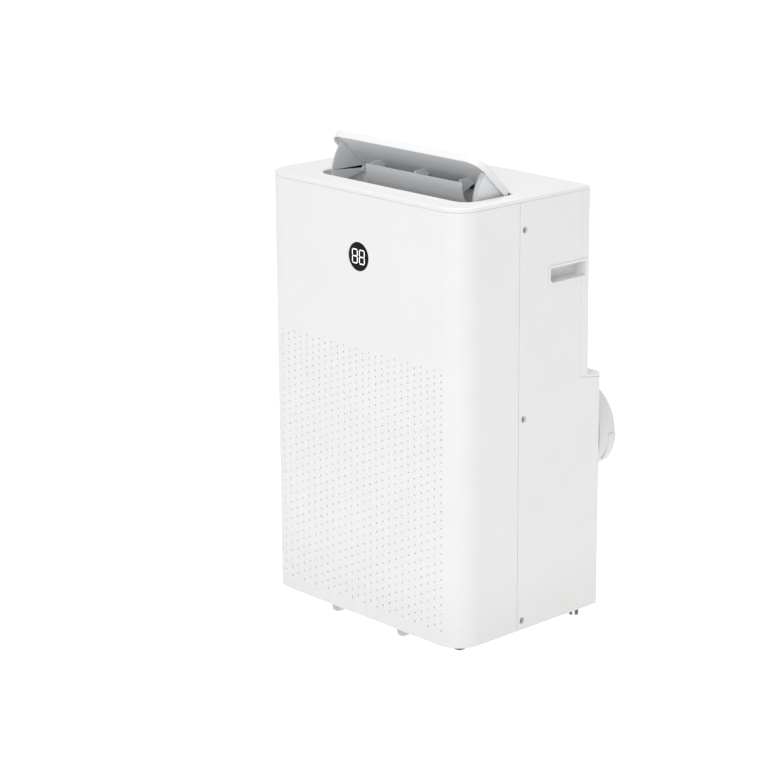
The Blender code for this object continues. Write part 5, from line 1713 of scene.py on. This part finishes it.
@dataclass
class RearPieces:
    """Both grilles, the filter, the exhaust connector, the drain plugs and the cord's gland."""

    lower_rear: float = 336.0
    gap: float = 0.3
    connector_wall: float = 3.0
    connector_reach: float = 42.0

    @property
    def back(self) -> float:
        """Where the flanges rest on the lower housing."""
        return self.lower_rear + self.gap

    def connector(self, bench: Bench) -> Piece:
        """The round collar: flange, rolled end, a moulded step inside and two bayonet lugs.

        Args:
            bench: the bench that makes the meshes.

        Returns:
            The collar.
        """
        x, z, r = CONNECTOR
        inner = r - self.connector_wall
        base = self.back
        end = self.lower_rear + self.connector_reach
        profile = [(r - 1.6, end), (r - 0.5, end - 0.45), (r, end - 1.6), (r, base + 4.2)]
        profile += [(r + 1.2, base + 3.0), (r + 4.5, base + 3.0), (r + 5, base + 2.5), (r + 5, base)]
        profile += [(inner, base)]
        profile += [(inner, self.lower_rear - 12), (inner - 3, self.lower_rear - 12)]
        profile += [(inner - 3, base + 1), (inner, base + 6), (inner, end - 0.6), (inner + 0.6, end)]
        collar = bench.turned("exhaust_connector_skin", profile, (x, 0, z), Axis.Y, 128)
        lugs = []
        for start in (-40, 140):
            outline = arc((x, z), r + 3.5, start, start + 38, 20)
            outline += arc((x, z), r - 1, start + 38, start, 20)
            lug = bench.plate("lug", outline, Axis.Y, end - 16, end - 2)
            lugs.append(soften(lug, 0.8, 2))
        return join(collar, *lugs)

    def plug(self, bench: Bench, name: str, place: Point3) -> Piece:
        """A drain plug with a rounded rim and a grip to turn it by; its place is (x, z, radius).

        Args:
            bench: the bench that makes the meshes.
            name: the piece's name.
            place: its x, z and radius.

        Returns:
            The plug.
        """
        x, z, r = place
        back = self.back
        profile = [(0, back + 5), (r + 1.8, back + 5), (r + 2.6, back + 4.7), (r + 3, back + 4)]
        profile += [(r + 3, back), (r, back), (r, back - 9), (0, back - 9)]
        plug = bench.turned(name, profile, (x, 0, z), Axis.Y, 56)
        around = r + 9
        grips = []
        for near, far in ((-around, -1.3), (1.3, around)):
            base = (x + near, back + 1.5, z - around)
            grips.append(bench.box("grip", base, (x + far, back + 20, z + around)))
        cut(plug, *grips)
        return soften(plug, 0.35, 2)

    def gland(self, bench: Bench) -> Piece:
        """The mains cord's gland, with rings that let it bend.

        Args:
            bench: the bench that makes the meshes.

        Returns:
            The gland.
        """
        x, z, r = GLAND
        back = self.back
        profile = [(r + 3.4, back + 3), (r + 4, back + 2.4), (r + 4, back), (r, back), (r, back - 8)]
        profile += [(r - 3, back - 8), (r - 3, back + 9), (r - 1.3, back + 9), (r - 1, back + 8.4)]
        profile += [(r - 1, back + 7.6), (r - 1.8, back + 7.2), (r - 1.8, back + 6.2)]
        profile += [(r - 0.6, back + 5.8), (r - 0.6, back + 5)]
        profile += [(r - 1.4, back + 4.6), (r - 1.4, back + 3.8), (r, back + 3)]
        return bench.turned("cord_gland_skin", profile, (x, 0, z), Axis.Y, 48)

    def build(self, bench: Bench, dresser: Dresser) -> None:
        """Make and dress every rear piece.

        Args:
            bench: the bench that makes the meshes.
            dresser: what gives each piece its finish and body.
        """
        upper = LouvredGrille((-185, 480), (185, 730), 298.3, 301.5)
        dresser.dress(upper.build(bench, "intake_grille_skin"), "case", "intake_door")
        dresser.dress(Filter().build(bench), "filter", "intake_door")
        lower = LouvredGrille((-190, 110), (40, 390), 333.2, self.lower_rear)
        dresser.dress(lower.build(bench, "condenser_grille_skin"), "case")
        dresser.dress(self.connector(bench), "inner", crease=40)
        for label, place in PLUGS.items():
            dresser.dress(self.plug(bench, f"drain_plug_{label}_skin", place), "case")
        dresser.dress(self.gland(bench), "rubber")


@dataclass
class FinnedCoil:
    """A heat exchanger: a stack of thin fins threaded on hairpin tubes."""

    name: str
    low: Point3
    high: Point3
    axis: Axis
    rows: int
    bend: float = 7.0
    fin_pitch: float = 2.4
    fin: float = 0.35

    def build(self, bench: Bench, dresser: Dresser) -> None:
        """Make the fins and the tubes.

        Args:
            bench: the bench that makes the meshes.
            dresser: what gives each piece its finish and body.
        """
        run = self.axis.value
        thin = 1 - run
        middle = (self.low[thin] + self.high[thin]) / 2
        end = self.high[run] - self.bend
        plates = []
        count = int((end - self.low[run]) / self.fin_pitch)
        for i in range(count + 1):
            near, far = list(self.low), list(self.high)
            near[run] = self.low[run] + i * (end - self.low[run] - self.fin) / count
            far[run] = near[run] + self.fin
            plates.append(bench.box("fin", tuple(near), tuple(far)))
        for place in (self.low[run], end - 1.2):
            near, far = list(self.low), list(self.high)
            near[run], far[run] = place, place + 1.2
            plates.append(bench.box("end_plate", tuple(near), tuple(far)))
        dresser.dress(merged(f"{self.name}_fins", plates), "fin", node=self.name)
        tubes = []
        pitch = (self.high[2] - self.low[2]) / self.rows
        for row in range(self.rows):
            z = self.low[2] + pitch * (row + 0.5)
            for shift in (-7.0, 7.0):
                start = [0.0, 0.0, z]
                start[run] = self.low[run] - 1
                start[thin] = middle + shift
                length = end - self.low[run] + 2
                tubes.append(bench.bar("tube", tuple(start), self.axis, 3.5, length, 16))
            route = []
            for degrees in range(-90, 91, 15):
                point = [0.0, 0.0, z]
                point[run] = end + (self.bend - 3.5) * math.cos(math.radians(degrees))
                point[thin] = middle + 7.0 * math.sin(math.radians(degrees))
                route.append(tuple(point))
            tubes.append(bench.tube("bend", route, 3.4, 14))
        dresser.dress(merged(f"{self.name}_tubes", tubes), "copper")


# ---------------------------------------------------------------- the base


@dataclass
class Casters:
    """Four twin-wheel casters with hooded yokes."""

    places: tuple[tuple[str, float, float, float], ...] = (
        ("front_left", -185.0, 60.0, -45.0),
        ("front_right", 185.0, 60.0, 225.0),
        ("rear_left", -207.0, 305.0, 45.0),
        ("rear_right", 207.0, 305.0, 135.0),
    )
    wheel_radius: float = 16.5
    width: float = 15.0
    trail: float = 6.0
    top: float = 46.0
    inner: float = 2.4

    def yoke(self, bench: Bench) -> Piece:
        """The hood with its stem and the web that holds the axle.

        Args:
            bench: the bench that makes the meshes.

        Returns:
            The yoke.
        """
        hood = 2 * self.wheel_radius + 1.5
        top = self.top
        profile = [(0, hood), (14.2, hood), (15, hood + 0.8), (15, top - 2.4), (14.3, top - 0.9)]
        profile += [(12.8, top), (4.0, top), (4.0, top + 9.6), (3.6, top + 10), (0, top + 10)]
        yoke = bench.turned("yoke", profile, (0, 0, 0), Axis.Z, 56)
        middle = self.wheel_radius
        outline = rectangle(self.trail - 7, self.trail + 7, middle - 7, hood + 4, (6.9, 6.9, 0, 0), 8)
        join(yoke, bench.plate("web", outline, Axis.Y, -1.6, 1.6))
        return cut(yoke, bench.bar("bore", (self.trail, -9, middle), Axis.Y, 3.4, 18, 24))

    def wheel(self, bench: Bench) -> Piece:
        """Two discs with rounded treads, dished faces and hub caps on one axle.

        Args:
            bench: the bench that makes the meshes.

        Returns:
            The wheel.
        """
        r, half, near = self.wheel_radius, self.width / 2, self.inner
        face = [(0, half), (3.6, half), (4.2, half - 0.5), (4.4, half - 1.3), (r - 4.6, half - 1.3)]
        face += [(r - 3.9, half - 0.6), (r - 3.2, half), (r - 1.9, half), (r - 0.8, half - 0.45)]
        face += [(r - 0.2, half - 1.3), (r, half - 2.2), (r, near + 1.2), (r - 0.4, near + 0.4)]
        face += [(r - 1.2, near), (3, near)]
        profile = face + [(radius, -height) for radius, height in reversed(face)]
        return bench.turned("wheel", profile, (self.trail, 0, self.wheel_radius), Axis.Y, 72)

    def build(self, dresser: Dresser) -> None:
        """Make and dress all four.

        Args:
            dresser: what gives each piece its finish and body.
        """
        for name, x, y, degrees in self.places:
            bench = Bench.at((x, y, 0.0), degrees)
            yoke = self.yoke(bench)
            yoke.name = f"caster_yoke_{name}_skin"
            dresser.dress(yoke, "nylon", f"caster_{name}")
            wheel = self.wheel(bench)
            wheel.name = f"caster_wheel_{name}_skin"
            dresser.dress(wheel, "nylon", f"wheel_{name}")


@dataclass
class SkidFeet:
    """Two grey feet under the front edge, with rounded corners and a hollowed back."""

    reach: float = 82.0
    top: float = 25.7
    low: float = 6.5
    half_width: float = 13.0
    depth: Point2 = (14.0, 30.0)

    def build(self, bench: Bench, dresser: Dresser) -> None:
        """Make both.

        Args:
            bench: the bench that makes the meshes.
            dresser: what gives each piece its finish and body.
        """
        near, far = self.depth
        for side in Side:
            x = side.value * self.reach
            half = self.half_width
            corners = [(x - half, self.top), (x - half * 0.6, self.low)]
            corners += [(x + half * 0.6, self.low), (x + half, self.top)]
            foot = bench.plate("foot", rounded(corners, (0, 5, 5, 0), 10), Axis.Y, near, far)
            inner = [(x + (a - x) * 0.72, self.low + 3 + (b - self.low) * 1.2) for a, b in corners]
            cut(foot, bench.plate("hollow", rounded(inner, (0, 3, 3, 0), 8), Axis.Y, near + 3, far + 9))
            soften(foot, 1.0, 3)
            foot.name = f"skid_foot_{side.name.lower()}_skin"
            dresser.dress(foot, "grey")


# ---------------------------------------------------------------- the studio


@dataclass
class Studio:
    """A pale floor that runs up into the background, soft light from all round and the camera."""

    lens: float = 121.15
    place: Point3 = (3.0581, -2.7583, 1.6125)
    degrees: Point3 = (74.269, 0.0, 45.932)
    shift: Point2 = (-0.0822, -0.0149)
    sky: float = 0.33
    glow: float = 0.9

    def build_floor(self) -> None:
        """Make a large floor of opal acrylic, lit from below so that shadows on it stay faint."""
        bm = bmesh.new()
        bmesh.ops.create_circle(bm, cap_ends=True, segments=96, radius=30.0)
        floor = Bench(Matrix.Identity(4)).add("studio_floor", bm)
        coat = Coat("lit_opal_acrylic")
        cloud = add_node(coat.tree, "TexNoise", {"Scale": 1.4, "Detail": 3.0}, {"Vector": coat.place})
        shades = {6: linear("#a8a8a8"), 7: linear("#a4a4a4")}
        colour = add_node(coat.tree, "Mix", shades, {0: cloud.outputs["Fac"]}, data_type="RGBA")
        fixed = {"Roughness": 0.9, "Specular IOR Level": 0.1}
        fixed |= {"Emission Color": linear("#ffffff"), "Emission Strength": self.glow}
        floor.data.materials.append(coat.finish(fixed, {"Base Color": colour.outputs[2]}))

    def add_light(self, name: str, place: Point3, aim: Point3, size: float, power: float) -> None:
        """Add a soft square light that faces a point.

        Args:
            name: the light's name.
            place: where it stands.
            aim: the point that it faces.
            size: how wide it is.
            power: its power in watts.
        """
        data = bpy.data.lights.new(name, "AREA")
        data.energy = power
        data.size = size
        light = bpy.data.objects.new(name, data)
        light.location = place
        light.rotation_euler = (Vector(aim) - Vector(place)).to_track_quat("-Z", "Y").to_euler()
        bpy.context.scene.collection.objects.link(light)

    def build(self) -> None:
        """Make the floor, the lights, the world and the camera."""
        scene = bpy.context.scene
        scene.view_settings.view_transform = "Standard"
        self.build_floor()
        world = bpy.data.worlds.new("studio")
        world.use_nodes = True
        background = world.node_tree.nodes["Background"]
        background.inputs["Color"].default_value = (1.0, 1.0, 1.0, 1.0)
        background.inputs["Strength"].default_value = self.sky
        scene.world = world
        self.add_light("key", (2.6, -4.2, 2.6), (0, 0, 0.4), 2.6, 80)
        self.add_light("overhead", (0, 0, 5.0), (0, 0, 0.4), 4.0, 175)
        data = bpy.data.cameras.new("camera")
        data.lens = self.lens
        data.sensor_width = 36.0
        data.shift_x, data.shift_y = self.shift
        camera = bpy.data.objects.new("camera", data)
        camera.location = Vector(self.place) + Vector((0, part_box("front_shell")[0].y, 0))
        camera.rotation_euler = [math.radians(angle) for angle in self.degrees]
        scene.collection.objects.link(camera)
        scene.camera = camera


# ---------------------------------------------------------------- everything


KEPT = {
    "inner": (
        "base_pan",
        "partition_deck",
        "control_box",
        "outlet_duct",
        "vane_link",
        "flap_pinion",
        "evaporator_scroll",
        "condenser_scroll",
        *(f"swing_vane_{i}" for i in range(1, 6)),
    ),
    "nylon": ("evaporator_fan", "condenser_fan"),
    "zinc": ("flap_motor", "evaporator_motor", "condenser_motor"),
    "enamel": ("compressor",),
    "board": ("display_board",),
}


def build_cabinet(bench: Bench, dresser: Dresser) -> None:
    """Build the cabinet's outside: front, walls, recesses, screws and display.

    Args:
        bench: the bench that makes the meshes.
        dresser: what gives each piece its finish and body.
    """
    walls = Walls()
    screws = Screws(walls)
    shell = merged("front_shell_skin", [FrontShell().build(bench), *screws.tongues(bench)])
    dresser.dress(shell, "case")
    walls.build(bench, dresser)
    Handles(walls).build(bench, dresser)
    screws.build(bench, dresser)
    Display().build(bench, dresser)


def build_coils(bench: Bench, dresser: Dresser) -> None:
    """Build both heat exchangers where the frame has them.

    Args:
        bench: the bench that makes the meshes.
        dresser: what gives each piece its finish and body.
    """
    for name, axis, rows in (("evaporator_coil", Axis.X, 7), ("condenser_coil", Axis.Y, 10)):
        low, high = bench.extent(name)
        FinnedCoil(name, low, high, axis, rows).build(bench, dresser)


def main() -> None:
    """Build every piece round the frame and log it."""
    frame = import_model()
    Studio().build()
    dresser = Dresser(Finishes())
    bench = Bench.at()
    build_cabinet(bench, dresser)
    Flap().build(dresser)
    RearPieces().build(bench, dresser)
    build_coils(bench, dresser)
    Casters().build(dresser)
    SkidFeet().build(bench, dresser)
    for finish, nodes in KEPT.items():
        dresser.keep(frame, nodes, finish)
    pipes = [name for name in frame["nodes"] if "pipe" in name]
    dresser.keep(frame, pipes, "copper")
    LOG.info("%d pieces", dresser.count)


if __name__ == "__main__":
    logging.basicConfig(level=logging.INFO, format="%(message)s")
    main()
